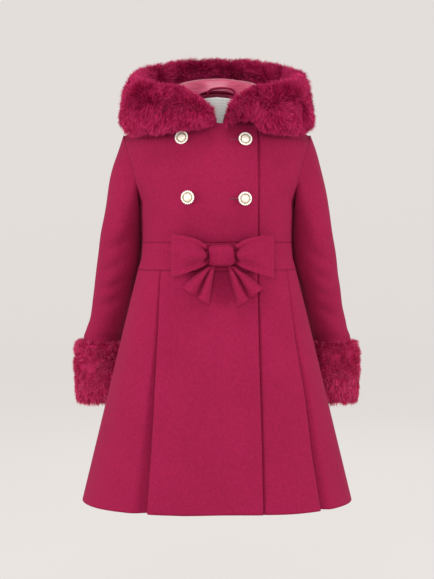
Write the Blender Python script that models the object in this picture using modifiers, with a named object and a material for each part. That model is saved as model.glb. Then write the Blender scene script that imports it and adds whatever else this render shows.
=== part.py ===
"""A girl's double-breasted princess coat, filled out as if worn.

Metres, +Z up. The coat faces -Y, the wearer's right is -X, and the origin is the middle of the neck.
Each piece that a maker would cut is one object. Cloth is a middle surface, worked out row by row,
with a Solidify wall. Fur is a closed form as deep as its pile.
"""

import math

import bmesh
import bpy
import numpy as np

# Cloth and seams
WALL = 0.002
LINING_WALL = 0.001
GAP = 0.0003
HALF_SEAM = 0.00025
SHOULDER_SEAM = 0.0013

# Heights of the seams, and the hem
WAIST_TOP = -0.226
WAIST_BOTTOM = -0.272
HEM = -0.667

# Front overlap: the right front lies on the left front
OVERLAP_TOP = 0.066
OVERLAP_HEM = 0.075
UNDER_EDGE = 0.044
# From the uppermost row of a front to the straight top edge of its part past the middle
UNDER_NECK_SHARE = 0.27
FLAP_TOP = np.array([0, 0.0105, 0.0205])
LIFT = WALL + 0.0006
LIFT_FROM = UNDER_EDGE + 0.004
LIFT_END = 0.080
# Share of the lift that also goes up, in the last row and the one before it
LIFT_UP = (0.9, 0.3)

# Roundness of the body's sections: 1 is an ellipse, and less is squarer
FRONT_ROUND = 0.833
BACK_ROUND = 0.90

# Body below the armholes: height, half width, depth of front, depth of back
BODY = (
    (HEM, 0.2305, 0.165, 0.135),
    (-0.540, 0.1995, 0.145, 0.122),
    (-0.400, 0.1655, 0.1235, 0.1075),
    (WAIST_BOTTOM, 0.1340, 0.1035, 0.0940),
    (-0.249, 0.1285, 0.1005, 0.0905),
    (WAIST_TOP, 0.1275, 0.1010, 0.0910),
)

# Front rows: middle z, middle y, end x, end y, end z, turn of the row in degrees
FRONT_ROWS = (
    (WAIST_TOP, -0.1010, 0.1275, 0.000, WAIST_TOP, 90),
    (-0.198, -0.1075, 0.1285, 0.000, -0.198, 90),
    (-0.169, -0.1120, 0.1300, 0.000, -0.169, 90),
    (-0.142, -0.1125, 0.1310, -0.038, -0.147, 70),
    (-0.112, -0.1105, 0.1365, -0.054, -0.118, 62),
    (-0.078, -0.1040, 0.1465, -0.044, -0.082, 62),
    (-0.052, -0.0960, 0.1540, -0.024, -0.058, 66),
)

# Back rows, with the same columns
BACK_ROWS = (
    (WAIST_TOP, 0.0910, 0.1275, 0.000, WAIST_TOP, 90),
    (-0.198, 0.0970, 0.1285, 0.000, -0.198, 90),
    (-0.169, 0.1010, 0.1300, 0.000, -0.169, 90),
    (-0.138, 0.1030, 0.1310, 0.042, -0.146, 70),
    (-0.096, 0.0980, 0.1370, 0.057, -0.112, 62),
    (-0.048, 0.0880, 0.1475, 0.048, -0.078, 62),
    (-0.006, 0.0735, 0.1545, 0.030, -0.056, 66),
)

TORSO_ROWS = 11
# The lowest rows end at the side seam, and those above them at the armhole
SIDE_SEAM_ROWS = 3

# Neck and shoulder: share of the row, x, y of the front, z of the front, y of the back, z of the back
TOP_ROW = (
    (0.00, 0.000, -0.0850, -0.0300, 0.0600, 0.0320),
    (0.16, 0.026, -0.0760, -0.0270, 0.0520, 0.0280),
    (0.30, 0.049, -0.0450, -0.0160, 0.0310, 0.0150),
    (0.40, 0.062, 0.0000, 0.0000, 0.0000, 0.0000),
    (0.70, 0.110, 0.0040, -0.0210, 0.0040, -0.0210),
    (1.00, 0.158, 0.0060, -0.0460, 0.0060, -0.0460),
)

# Skirt pleats: height, fold's distance from the middle, room between layers, depth, opened width
RIGHT_PLEAT = (
    (HEM, 0.1100, 0.0085, 0.024, 0.036),
    (-0.480, 0.1020, 0.0060, 0.027, 0.020),
    (-0.380, 0.0990, 0.0042, 0.028, 0.010),
    (WAIST_BOTTOM, 0.0950, 0.0030, 0.028, 0.006),
)
LEFT_PLEAT = (
    (HEM, 0.1740, 0.0085, 0.024, 0.030),
    (-0.480, 0.1500, 0.0060, 0.027, 0.017),
    (-0.380, 0.1360, 0.0042, 0.028, 0.010),
    (WAIST_BOTTOM, 0.1260, 0.0030, 0.028, 0.006),
)
BACK_PLEAT = (
    (HEM, 0.1350, 0.0085, 0.024, 0.034),
    (-0.480, 0.1150, 0.0060, 0.026, 0.018),
    (-0.380, 0.1050, 0.0042, 0.028, 0.010),
    (WAIST_BOTTOM, 0.0950, 0.0030, 0.028, 0.006),
)
BAND_HEIGHTS = (WAIST_BOTTOM + GAP, -0.257, -0.241, WAIST_TOP - GAP)
SKIRT_HEIGHTS = (HEM, -0.610, -0.545, -0.480, -0.420, -0.365, -0.315, WAIST_BOTTOM - GAP)

# Armhole of a sleeve, from the shoulder round the front to the armpit and back: x, y, z
ARMHOLE = (
    (0.1603, 0.006, -0.0440),
    (0.1563, -0.021, -0.0560),
    (0.1484, -0.042, -0.0800),
    (0.1382, -0.052, -0.1160),
    (0.1337, -0.039, -0.1480),
    (0.1327, 0.003, -0.1700),
    (0.1337, 0.044, -0.1470),
    (0.1388, 0.055, -0.1100),
    (0.1490, 0.047, -0.0760),
    (0.1571, 0.028, -0.0540),
)

# Sleeve below the armhole: height, outer x, inner x, middle y, half depth
SLEEVE = (
    (-0.512, 0.2380, 0.1700, 0.1070, 0.040),
    (-0.405, 0.2380, 0.1700, 0.1070, 0.040),
    (-0.395, 0.2355, 0.1670, 0.1030, 0.041),
    (-0.350, 0.2235, 0.1540, 0.0800, 0.045),
    (-0.300, 0.2125, 0.1425, 0.0480, 0.049),
    (-0.250, 0.2045, 0.1320, 0.0200, 0.052),
    (-0.205, 0.1975, 0.1315, 0.0070, 0.055),
)
SLEEVE_HEAD_RINGS = 5
SLEEVE_HEAD_FULLNESS = 0.006
SLEEVE_COLUMNS = 18
SLEEVE_HEIGHTS = (-0.205, -0.235, -0.265, -0.295, -0.325, -0.355, -0.382, -0.405, -0.512)

# Fur cuff: top, bottom, middle x and y, half width and half depth over the pile
CUFF_TOP = -0.399
CUFF_BOTTOM = -0.519
CUFF_MIDDLE = (0.2060, 0.1060)
CUFF_HALF = (0.0520, 0.0560)
CUFF_BORE_ROOM = 0.0016
# Cuff's section: share of the way from bore to pile, and distance from the nearer end
CUFF_SECTION = ((0.0, 0.008), (0.4, 0.0), (0.8, 0.004), (1.0, 0.018))

# Hood's neck seam, from the front to the middle of the back: share, x, y, z
HOOD_NECK = (
    (0.00, 0.0150, -0.0840, -0.0250),
    (0.25, 0.0430, -0.0600, -0.0140),
    (0.50, 0.0630, 0.0000, 0.0035),
    (0.75, 0.0450, 0.0390, 0.0215),
    (0.94, 0.0130, 0.0590, 0.0332),
    (1.00, 0.0000, 0.0600, 0.0338),
)
# Hood's free edge, inside the fur: share, x, y
HOOD_EDGE = (
    (0.00, 0.0180, -0.0975),
    (0.25, 0.0850, -0.0780),
    (0.50, 0.1200, -0.0150),
    (0.60, 0.1140, 0.0180),
    (0.68, 0.1100, 0.0520),
    (0.78, 0.1130, 0.1000),
    (0.94, 0.0330, 0.1510),
    (1.00, 0.0000, 0.1550),
)
# Hood's profiles, from the neck to the edge: share, then the height of each of the points below
HOOD_REACH = (0.00, 0.14, 0.32, 0.44, 0.56, 0.78, 0.94, 1.00)
HOOD_HEIGHTS = (
    (0.00, -0.025, -0.019, -0.014, -0.012, -0.011, -0.010, -0.010, -0.010),
    (0.25, -0.0140, 0.005, 0.008, 0.000, -0.007, -0.012, -0.014, -0.014),
    (0.50, 0.0035, 0.024, 0.022, 0.008, -0.004, -0.016, -0.018, -0.017),
    (0.60, 0.0115, 0.034, 0.031, 0.016, 0.003, -0.005, -0.007, -0.008),
    (0.68, 0.0170, 0.040, 0.037, 0.024, 0.014, 0.002, -0.008, -0.012),
    (0.78, 0.0235, 0.046, 0.042, 0.026, 0.008, -0.026, -0.034, -0.014),
    (0.94, 0.0332, 0.053, 0.047, 0.016, -0.022, -0.076, -0.048, 0.0290),
    (1.00, 0.0338, 0.054, 0.048, 0.016, -0.024, -0.082, -0.050, 0.0338),
)
HOOD_HALF_SEAM = 0.001
HOOD_ROWS = 16
HOOD_COLUMNS = 13
# The lining: how far inside the hood it lies, and the hood's column at which it starts
LINING_INSET = 0.0053
LINING_STARTS = 5

# Fur trim from its tip in front to the middle of the back: share, bottom x y z, top x y z, thickness
TRIM = (
    (0.000, 0.0060, -0.1120, -0.0310, 0.0065, -0.1110, -0.0230, 0.010),
    (0.040, 0.0160, -0.1150, -0.0370, 0.0170, -0.1120, 0.0000, 0.024),
    (0.100, 0.0340, -0.1180, -0.0420, 0.0350, -0.1130, 0.0200, 0.030),
    (0.190, 0.0600, -0.1190, -0.0470, 0.0600, -0.1120, 0.0350, 0.034),
    (0.300, 0.0960, -0.1100, -0.0490, 0.0930, -0.1020, 0.0410, 0.038),
    (0.420, 0.1330, -0.0830, -0.0490, 0.1230, -0.0730, 0.0520, 0.042),
    (0.540, 0.1470, -0.0220, -0.0330, 0.1260, -0.0200, 0.0630, 0.044),
    (0.660, 0.1450, 0.0400, -0.0270, 0.1220, 0.0360, 0.0760, 0.046),
    (0.790, 0.1180, 0.0950, -0.0050, 0.1000, 0.0880, 0.0900, 0.046),
    (0.900, 0.0680, 0.1380, 0.0220, 0.0600, 0.1280, 0.1010, 0.044),
    (1.000, 0.0000, 0.1560, 0.0340, 0.0000, 0.1450, 0.1050, 0.044),
)
TRIM_TIP_SHIFT, TRIM_SHIFT_ENDS = 0.0045, 0.2
# The flap of the right front covers the lowest fur beside the middle, on the wearer's left
TRIM_OVER_FLAP = -0.0300
FLAP_CLEAR, FLAP_FADE = 0.062, 0.012
TRIM_SIDE_ENDS = 0.70
TRIM_AROUND = 14
TRIM_SQUARE = 0.8

# Neck tape, label and hanger loop at the middle of the back neck
TAPE_HEIGHT = 0.0050
NECK_INSET = 0.0036
TAPE_HALF_WIDTH, TAPE_BELOW_EDGE = 0.034, 0.0015
LABEL_HALF_WIDTH, LABEL_BELOW_EDGE, LABEL_HEIGHT = 0.031, 0.0070, 0.048
LOOP_INSET, LOOP_BELOW_EDGE = 0.0068, 0.0020
LOOP_HALF_SPAN, LOOP_RISE, LOOP_RADIUS, LOOP_MIDDLE = 0.0235, 0.013, 0.0018, 0.0075

# Bow, whose right is the wearer's. Loops: share out and back, x, y, top z, bottom z
BOW_RIGHT_LOOP = (
    (0.00, -0.0136, -0.1150, -0.2330, -0.2590),
    (0.22, -0.0330, -0.1290, -0.2200, -0.2680),
    (0.42, -0.0640, -0.1280, -0.2125, -0.2790),
    (0.50, -0.0740, -0.1205, -0.2120, -0.2815),
    (0.58, -0.0640, -0.1120, -0.2130, -0.2790),
    (0.78, -0.0330, -0.1085, -0.2210, -0.2680),
    (1.00, -0.0136, -0.1100, -0.2340, -0.2590),
)
BOW_LEFT_LOOP = (
    (0.00, 0.0294, -0.1150, -0.2310, -0.2590),
    (0.22, 0.0470, -0.1290, -0.2200, -0.2680),
    (0.42, 0.0810, -0.1280, -0.2130, -0.2800),
    (0.50, 0.0925, -0.1205, -0.2145, -0.2830),
    (0.58, 0.0810, -0.1120, -0.2150, -0.2800),
    (0.78, 0.0470, -0.1085, -0.2210, -0.2680),
    (1.00, 0.0294, -0.1100, -0.2320, -0.2590),
)
# Tails: share, inner edge x z, outer edge x z, y
BOW_RIGHT_TAIL = (
    (0.00, 0.0050, -0.2643, -0.0090, -0.2643, -0.1168),
    (0.40, -0.0040, -0.2870, -0.0310, -0.2770, -0.1200),
    (1.00, -0.0150, -0.3250, -0.0575, -0.2995, -0.1225),
)
BOW_LEFT_TAIL = (
    (0.00, 0.0105, -0.2643, 0.0245, -0.2643, -0.1168),
    (0.40, 0.0200, -0.2880, 0.0500, -0.2780, -0.1200),
    (1.00, 0.0340, -0.3300, 0.0740, -0.3020, -0.1225),
)
BOW_TAIL_FOLD = 0.004
KNOT_MIDDLE = (0.0078, -0.1172, -0.2463)
KNOT_HALF = (0.0205, 0.0125, 0.0175)

# Buttons: distance from the middle, height. The profile is radius, and height over the cloth
BUTTONS = ((-0.057, -0.0535), (0.046, -0.0565), (-0.047, -0.151), (0.045, -0.153))
BUTTON_PROFILE = (
    (0.0032, 0.0074),
    (0.0058, 0.0060),
    (0.0072, 0.0038),
    (0.0082, 0.0044),
    (0.0100, 0.0052),
    (0.0115, 0.0038),
    (0.0112, 0.0024),
    (0.0060, 0.0016),
    (0.0050, 0.0000),
)
BUTTON_SIDES = 18
BUTTON_SEAT = 0.0005

# Colours as sRGB, roughness
FINISHES = {
    "wool": ((166, 34, 74), 0.95),
    "fur": ((140, 24, 66), 1.0),
    "lining": ((217, 87, 121), 0.35),
    "tape": ((120, 20, 50), 0.8),
    "label": ((222, 226, 222), 0.6),
    "pearl": ((240, 230, 215), 0.2),
}


def linear(value):
    """One sRGB channel, 0 to 255, as linear light."""
    share = value / 255
    return share / 12.92 if share <= 0.04045 else ((share + 0.055) / 1.055) ** 2.4


def material(object_name, finish):
    colour, roughness = FINISHES[finish]
    made = bpy.data.materials.new(f"{finish}_{object_name}")
    made.use_nodes = True
    shader = made.node_tree.nodes["Principled BSDF"]
    shader.inputs["Base Color"].default_value = (*(linear(c) for c in colour), 1)
    shader.inputs["Roughness"].default_value = roughness
    shader.inputs["Metallic"].default_value = 0
    return made


def row_slopes(knots, values):
    """A slope for each row: the harmonic mean of those beside it, and flat at a peak or a plateau."""
    steps = np.diff(knots).reshape((-1,) + (1,) * (values.ndim - 1))
    secants = np.diff(values, axis=0) / steps
    before, after = secants[:-1], secants[1:]
    same_way = before * after > 0
    total = np.where(same_way, before + after, 1)
    middle = np.where(same_way, 2 * before * after / total, 0)
    return np.concatenate([secants[:1], middle, secants[-1:]])


def spline(knots, values, at):
    """A smooth curve through a table's rows that never passes beyond them."""
    knots, values = np.asarray(knots, float), np.asarray(values, float)
    at = np.clip(np.asarray(at, float), knots[0], knots[-1])
    slopes = row_slopes(knots, values)
    row = np.clip(np.searchsorted(knots, at, side="right") - 1, 0, len(knots) - 2)
    step = knots[row + 1] - knots[row]
    t = (at - knots[row]) / step
    more = (...,) + (None,) * (values.ndim - 1)
    t, step = t[more], step[more]
    start = (1 + 2 * t) * (1 - t) ** 2 * values[row] + t * (1 - t) ** 2 * step * slopes[row]
    end = t**2 * (3 - 2 * t) * values[row + 1] - t**2 * (1 - t) * step * slopes[row + 1]
    return start + end


def table_at(table, at):
    """The columns of a table after its first, at the given places in its first column."""
    rows = np.array(table, float)
    return np.moveaxis(spline(rows[:, 0], rows[:, 1:], at), -1, 0)


def smooth_step(value):
    value = np.clip(value, 0, 1)
    return value * value * (3 - 2 * value)


def mirrored(points, side):
    """The same points, on the wearer's right for -1 and left for 1."""
    return points * np.array([side, 1, 1])


def add_object(name, finish, points, faces):
    mesh = bpy.data.meshes.new(name)
    mesh.from_pydata([tuple(p) for p in points], [], faces)
    mesh.update()
    built = bpy.data.objects.new(name, mesh)
    built.data.materials.append(material(name, finish))
    COAT.objects.link(built)
    return built


def grid_faces(rows, columns, closed_rows, closed_columns):
    """Four-sided faces between the points of a grid, round it where it is closed."""
    faces = []
    for i in range(rows if closed_rows else rows - 1):
        for j in range(columns if closed_columns else columns - 1):
            k, m = (i + 1) % rows, (j + 1) % columns
            faces.append((i * columns + j, i * columns + m, k * columns + m, k * columns + j))
    return faces


def cloth(name, finish, grid, closed_columns=False, wall=WALL):
    """A middle surface with half the wall on each side of it."""
    rows, columns = grid.shape[:2]
    faces = grid_faces(rows, columns, False, closed_columns)
    built = add_object(name, finish, grid.reshape(-1, 3), faces)
    built.data.shade_smooth()
    solidify = built.modifiers.new("wall", "SOLIDIFY")
    solidify.thickness = wall
    solidify.offset = 0
    solidify.use_even_offset = True
    return built


def solid(name, finish, grid, closed_rows=False, capped=True):
    """A closed form whose columns run round it, with an end cap at each end unless its rows close."""
    rows, columns = grid.shape[:2]
    faces = grid_faces(rows, columns, closed_rows, True)
    if capped and not closed_rows:
        faces.append(tuple(range(columns)))
        faces.append(tuple(range((rows - 1) * columns, rows * columns))[::-1])
    built = add_object(name, finish, grid.reshape(-1, 3), faces)
    shape = bmesh.new()
    shape.from_mesh(built.data)
    bmesh.ops.recalc_face_normals(shape, faces=shape.faces)
    shape.to_mesh(built.data)
    shape.free()
    built.data.shade_smooth()
    built.data.set_sharp_from_angle(angle=math.radians(50))
    return built


def body_section(z):
    """Points of half the body's outline at a height, from the front's middle round to the back's."""
    half_width, front, back = table_at(BODY, np.array([z]))[:, 0]
    turn = np.linspace(0, math.pi, 361)
    power = np.where(turn <= math.pi / 2, FRONT_ROUND, BACK_ROUND)
    depth = np.where(turn <= math.pi / 2, front, back)
    x = half_width * np.sin(turn) ** power
    y = -depth * np.sign(np.cos(turn)) * np.abs(np.cos(turn)) ** power
    x[-1] = 0
    length = np.concatenate([[0], np.cumsum(np.hypot(np.diff(x), np.diff(y)))])
    return x, y, length


def on_body(z, along, outward):
    """Points on the body's outline: along is measured from the front's middle, outward is off it."""
    x, y, length = body_section(z)
    side = np.where(along < 0, -1, 1)
    place = np.abs(along)
    step = 0.002

    def point(at):
        at = np.clip(at, 0, length[-1])
        return np.stack([np.interp(at, length, x), np.interp(at, length, y)], axis=-1)

    tangent = point(place + step) - point(np.maximum(place - step, 0))
    tangent[place < step] = (1, 0)
    tangent[place > length[-1] - step] = (-1, 0)
    tangent /= np.linalg.norm(tangent, axis=-1, keepdims=True)
    normal = np.stack([tangent[:, 1], -tangent[:, 0]], axis=-1)
    flat = point(place) + normal * outward[:, None]
    return np.stack([flat[:, 0] * side, flat[:, 1], np.full(len(flat), z)], axis=-1)


def seam_length(z):
    """Distance along the body's outline from the front's middle to the side seam."""
    x, _, length = body_section(z)
    return length[np.argmax(x)]


def front_edge(z, is_right):
    """How far past the middle a front reaches, to the other side."""
    if not is_right:
        return UNDER_EDGE
    share = np.clip((WAIST_BOTTOM - z) / (WAIST_BOTTOM - HEM), 0, 1)
    return OVERLAP_TOP + share * (OVERLAP_HEM - OVERLAP_TOP)


def overlap_lift(along, is_right):
    """How far the right front stands off the body where it lies on the left front."""
    if not is_right:
        return np.zeros_like(along)
    return LIFT * (1 - smooth_step((along - LIFT_FROM) / (LIFT_END - LIFT_FROM)))


def pleat_path(fold, room, depth, opened):
    """A knife pleat from above: out to its fold, back under it, out again, then up to the next panel."""
    turns = np.linspace(0, math.pi, 6)[1:-1]
    radius = room / 2
    first = np.stack([fold + radius * np.sin(turns), -radius * (1 - np.cos(turns))], axis=-1)
    back = np.stack([np.linspace(fold, fold - depth, 3), np.full(3, -room)], axis=-1)
    second = np.stack(
        [fold - depth - radius * np.sin(turns), -room - radius * (1 - np.cos(turns))], axis=-1
    )
    under = np.stack([np.linspace(fold - depth, fold, 3), np.full(3, -2 * room)], axis=-1)
    rise = np.linspace(0, 1, 5)[1:]
    climb = np.stack([fold + rise * opened, -2 * room * (1 - smooth_step(rise))], axis=-1)
    return np.concatenate([first, back, second, under, climb])


def skirt_front(name, is_right, pleat):
    rows = []
    for z in SKIRT_HEIGHTS:
        fold, room, depth, opened = table_at(pleat, np.array([z]))[:, 0]
        start, end = -front_edge(z, is_right), seam_length(z) - HALF_SEAM
        top = np.linspace(start, fold, 12)
        front = np.stack([top, overlap_lift(top, is_right)], axis=-1)
        side = np.linspace(fold + opened, end, 6)[1:]
        rest = np.stack([side, np.zeros(5)], axis=-1)
        path = np.concatenate([front, pleat_path(fold, room, depth, opened), rest])
        rows.append(on_body(z, path[:, 0], path[:, 1]))
    side = -1 if is_right else 1
    return cloth(name, "wool", mirrored(np.array(rows), side))


def skirt_back(name):
    rows = []
    for z in SKIRT_HEIGHTS:
        fold, room, depth, opened = table_at(BACK_PLEAT, np.array([z]))[:, 0]
        half = body_section(z)[2][-1]
        reach = half - seam_length(z) - HALF_SEAM
        top = np.stack([np.linspace(0, fold, 8)[:-1], np.zeros(7)], axis=-1)
        fold_point = np.array([[fold, 0.0]])
        side = np.linspace(fold + opened, reach, 5)[1:]
        rest = np.stack([side, np.zeros(4)], axis=-1)
        path = np.concatenate([top, fold_point, pleat_path(fold, room, depth, opened), rest])
        points = on_body(z, half - path[:, 0], path[:, 1])
        rows.append(np.concatenate([mirrored(points[::-1], -1), points[1:]]))
    return cloth(name, "wool", np.array(rows))


def waistband_front(name, is_right):
    rows = []
    for z in BAND_HEIGHTS:
        along = np.linspace(-front_edge(z, is_right), seam_length(z) - HALF_SEAM, 19)
        rows.append(on_body(z, along, overlap_lift(along, is_right)))
    return cloth(name, "wool", mirrored(np.array(rows), -1 if is_right else 1))


def waistband_back(name):
    rows = []
    for z in BAND_HEIGHTS:
        half = body_section(z)[2][-1]
        reach = half - seam_length(z) - HALF_SEAM
        right = on_body(z, half - np.linspace(0, reach, 11), np.zeros(11))
        rows.append(np.concatenate([mirrored(right[::-1], -1), right[1:]]))
    return cloth(name, "wool", np.array(rows))


def torso_rows(table, shares, sign):
    """Rows of a front or a back. A share runs from 0 at the middle to 1 at the side or armhole."""
    power = FRONT_ROUND if sign < 0 else BACK_ROUND
    rows = []
    for middle_z, middle_y, end_x, end_y, end_z, turn in table:
        last = math.radians(turn)
        angle = shares * last
        across = np.sign(angle) * (np.abs(np.sin(angle)) / math.sin(last)) ** power
        around = (1 - np.cos(angle) ** power) / (1 - math.cos(last) ** power)
        y = middle_y + (end_y - middle_y) * around
        z = middle_z + (end_z - middle_z) * np.abs(shares) ** 2
        rows.append(np.stack([end_x * across, y, z], axis=-1))
    x, front_y, front_z, back_y, back_z = table_at(TOP_ROW, np.abs(shares))
    y, z = (front_y, front_z) if sign < 0 else (back_y, back_z)
    rows.append(np.stack([np.sign(shares) * x, y + sign * SHOULDER_SEAM, z], axis=-1))
    return np.array(rows)


def share_of_x(row, x):
    """The share of a front's row at which it is x from the middle."""
    _, _, end_x, _, _, turn = row
    last = math.radians(turn)
    return math.asin((x / end_x) ** (1 / FRONT_ROUND) * math.sin(last)) / last


def bodice_front(name, is_right):
    """A front: its own columns in each row, so that its edge runs straight down."""
    edge = front_edge(WAIST_TOP, is_right)
    starts = [share_of_x(row, edge) for row in FRONT_ROWS]
    rows = []
    for i, start in enumerate(starts + [starts[-1] if is_right else UNDER_NECK_SHARE]):
        shares = np.concatenate([np.linspace(-start, 0, 6), np.linspace(0, 1, 12)[1:]])
        all_rows = torso_rows(FRONT_ROWS, shares, -1)
        row = all_rows[i]
        if is_right and i == len(starts):
            past = shares < 0
            row[past] = all_rows[i - 1][past] + FLAP_TOP
        lift = overlap_lift(np.sign(shares) * np.abs(row[:, 0]), is_right)
        row[:, 1] -= lift
        from_last = i - len(starts)
        row[:, 2] += lift * (LIFT_UP[from_last] if from_last in (0, -1) else 0)
        row[-1, 1] -= HALF_SEAM if i < SIDE_SEAM_ROWS else 0
        rows.append(row)
    rows = np.array(rows)
    knots = np.arange(len(rows))
    grid = spline(knots, rows, np.linspace(0, knots[-1], TORSO_ROWS))
    grid[0, :, 2] += GAP
    return cloth(name, "wool", mirrored(grid, -1 if is_right else 1))


def bodice_back(name):
    shares = np.linspace(-1, 1, 25)
    rows = torso_rows(BACK_ROWS, shares, 1)
    rows[:SIDE_SEAM_ROWS, [0, -1], 1] += HALF_SEAM
    knots = np.arange(len(rows))
    grid = spline(knots, rows, np.linspace(0, knots[-1], TORSO_ROWS))
    grid[0, :, 2] += GAP
    return cloth(name, "wool", grid)


def sleeve_ring(z):
    outer, inner, middle_y, half_depth = table_at(SLEEVE, np.array([z]))[:, 0]
    turn = np.linspace(0, 2 * math.pi, SLEEVE_COLUMNS, endpoint=False)
    x = (outer + inner) / 2 + (outer - inner) / 2 * np.cos(turn)
    y = middle_y - half_depth * np.sin(turn)
    return np.stack([x, y, np.full(SLEEVE_COLUMNS, z)], axis=-1)


def sleeve(name, side):
    """A tube from the armhole's loop, which it leaves smoothly, down to the wrist."""
    loop = np.array(ARMHOLE + ARMHOLE[:1], float)
    at = np.linspace(0, len(ARMHOLE), SLEEVE_COLUMNS, endpoint=False)
    armhole = spline(np.arange(len(loop)), loop, at)
    first = sleeve_ring(SLEEVE_HEIGHTS[0])
    turn = np.linspace(0, 2 * math.pi, SLEEVE_COLUMNS, endpoint=False)
    outside = np.clip(np.cos(turn), 0, 1)[:, None]
    rings = []
    for share in np.linspace(0, 1, SLEEVE_HEAD_RINGS, endpoint=False):
        fullness = SLEEVE_HEAD_FULLNESS * math.sin(math.pi * share) * outside
        rings.append((1 - share) * armhole + share * first + fullness * np.array([1, 0, 0.4]))
    rings += [sleeve_ring(z) for z in SLEEVE_HEIGHTS]
    return cloth(name, "wool", mirrored(np.array(rings), side), closed_columns=True)


def cuff(name, side):
    """A ring of fur: its section runs up the bore, over the top, down the pile and back under."""
    upper = [(share, CUFF_TOP - down) for share, down in CUFF_SECTION]
    lower = [(share, CUFF_BOTTOM + up) for share, up in CUFF_SECTION]
    section = upper + [(1.0, (CUFF_TOP + CUFF_BOTTOM) / 2)] + lower[::-1]
    turn = np.linspace(0, 2 * math.pi, SLEEVE_COLUMNS, endpoint=False)
    pile = np.array(CUFF_MIDDLE + CUFF_HALF)
    rings = []
    for share, z in section:
        outer, inner, middle_y, half_depth = table_at(SLEEVE, np.array([z]))[:, 0]
        half_width = (outer - inner) / 2 + CUFF_BORE_ROOM
        bore = np.array([(outer + inner) / 2, middle_y, half_width, half_depth + CUFF_BORE_ROOM])
        middle_x, middle_y, half_width, half_depth = bore + share * (pile - bore)
        x = middle_x + half_width * np.cos(turn)
        y = middle_y - half_depth * np.sin(turn)
        rings.append(np.stack([x, y, np.full(SLEEVE_COLUMNS, z)], axis=-1))
    return solid(name, "fur", mirrored(np.array(rings), side), closed_rows=True)


def hood_surface(shares, reach):
    """Points of the hood from the front (share 0) to the back (1), neck seam (reach 0) to edge (1)."""
    neck_x, neck_y, _ = table_at(HOOD_NECK, shares)
    edge_x, edge_y = table_at(HOOD_EDGE, shares)
    heights = table_at(HOOD_HEIGHTS, shares).T
    z = np.array([spline(HOOD_REACH, row, reach) for row in heights]).T
    x = neck_x + (edge_x - neck_x) * reach[:, None]
    y = neck_y + (edge_y - neck_y) * reach[:, None]
    return np.stack([x, y, z], axis=-1)


def hood_grid():
    return hood_surface(np.linspace(0, 1, HOOD_COLUMNS), np.linspace(0, 1, HOOD_ROWS))


def hood_shell(name, side):
    grid = hood_grid()
    grid[:, -1, 0] = HOOD_HALF_SEAM
    return cloth(name, "wool", mirrored(grid, side))


def hood_lining(name):
    """The lining: the hood's own points, moved into it, from side to side across the back."""
    half = hood_grid()
    across = np.concatenate([mirrored(half, -1), half[:, -2::-1]], axis=1)
    normal = np.cross(np.gradient(across, axis=1), np.gradient(across, axis=0))
    normal /= np.linalg.norm(normal, axis=-1, keepdims=True)
    normal *= math.copysign(1, normal[3, HOOD_COLUMNS - 1, 2])
    lining = (across + LINING_INSET * normal)[1:-2, LINING_STARTS:-LINING_STARTS]
    return cloth(name, "lining", lining, wall=LINING_WALL)


def trim_ring(share, side):
    """The fur's section at one place: a rounded bar from its bottom point to its top point."""
    row = table_at(TRIM, np.array([share]))[:, 0]
    near = table_at(TRIM, np.array([max(share - 0.01, 0), min(share + 0.01, 1)]))
    bottom, top, thickness = row[0:3], row[3:6], row[6]
    if side > 0:
        beside_flap = smooth_step((bottom[0] - FLAP_CLEAR) / FLAP_FADE)
        bottom[2] = max(bottom[2], TRIM_OVER_FLAP + beside_flap * (bottom[2] - TRIM_OVER_FLAP))
    forward = near[0:3, 1] - near[0:3, 0]
    forward[2] = 0
    height = top - bottom
    across = np.cross(forward, height)
    across /= np.linalg.norm(across)
    turn = np.linspace(0, 2 * math.pi, TRIM_AROUND, endpoint=False)
    out = np.sign(np.cos(turn)) * np.abs(np.cos(turn)) ** TRIM_SQUARE * thickness / 2
    up = np.sign(np.sin(turn)) * np.abs(np.sin(turn)) ** TRIM_SQUARE / 2
    ring = (bottom + top) / 2 + np.outer(out, across) + np.outer(up, height)
    ring = mirrored(ring, side)
    ring[:, 0] += TRIM_TIP_SHIFT * (1 - smooth_step(share / TRIM_SHIFT_ENDS))
    return ring


def trim_side(name, side):
    shares = np.concatenate([[0, 0.02, 0.05], np.linspace(0.10, TRIM_SIDE_ENDS - 0.001, 10)])
    grid = np.array([trim_ring(share, side) for share in shares])
    return solid(name, "fur", grid)


def trim_back(name):
    shares = np.linspace(TRIM_SIDE_ENDS + 0.001, 1, 7)
    left = [trim_ring(share, 1) for share in shares]
    right = [trim_ring(share, -1) for share in shares[-2::-1]]
    return solid(name, "fur", np.array(left + right))


def back_neck(across, down):
    """Points inside the back's neck edge: across from the middle, and down from the seam."""
    share = np.interp(np.abs(across), [row[1] for row in TOP_ROW], [row[0] for row in TOP_ROW])
    rows = torso_rows(BACK_ROWS, share, 1)
    top, below = rows[-1], rows[-2]
    fall = down / np.linalg.norm(top - below, axis=-1)
    points = top + (below - top) * fall[:, None]
    points[:, 0] = across
    return points


def neck_patch(name, finish, half_width, top, height):
    """A flat piece that lies on the inside of the back neck."""
    across = np.linspace(-half_width, half_width, 9)
    rows = [back_neck(across, np.full(9, top + height * share)) for share in (1, 0.5, 0)]
    grid = np.array(rows)
    grid[:, :, 1] -= NECK_INSET
    return cloth(name, finish, grid, wall=LINING_WALL)


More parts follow.
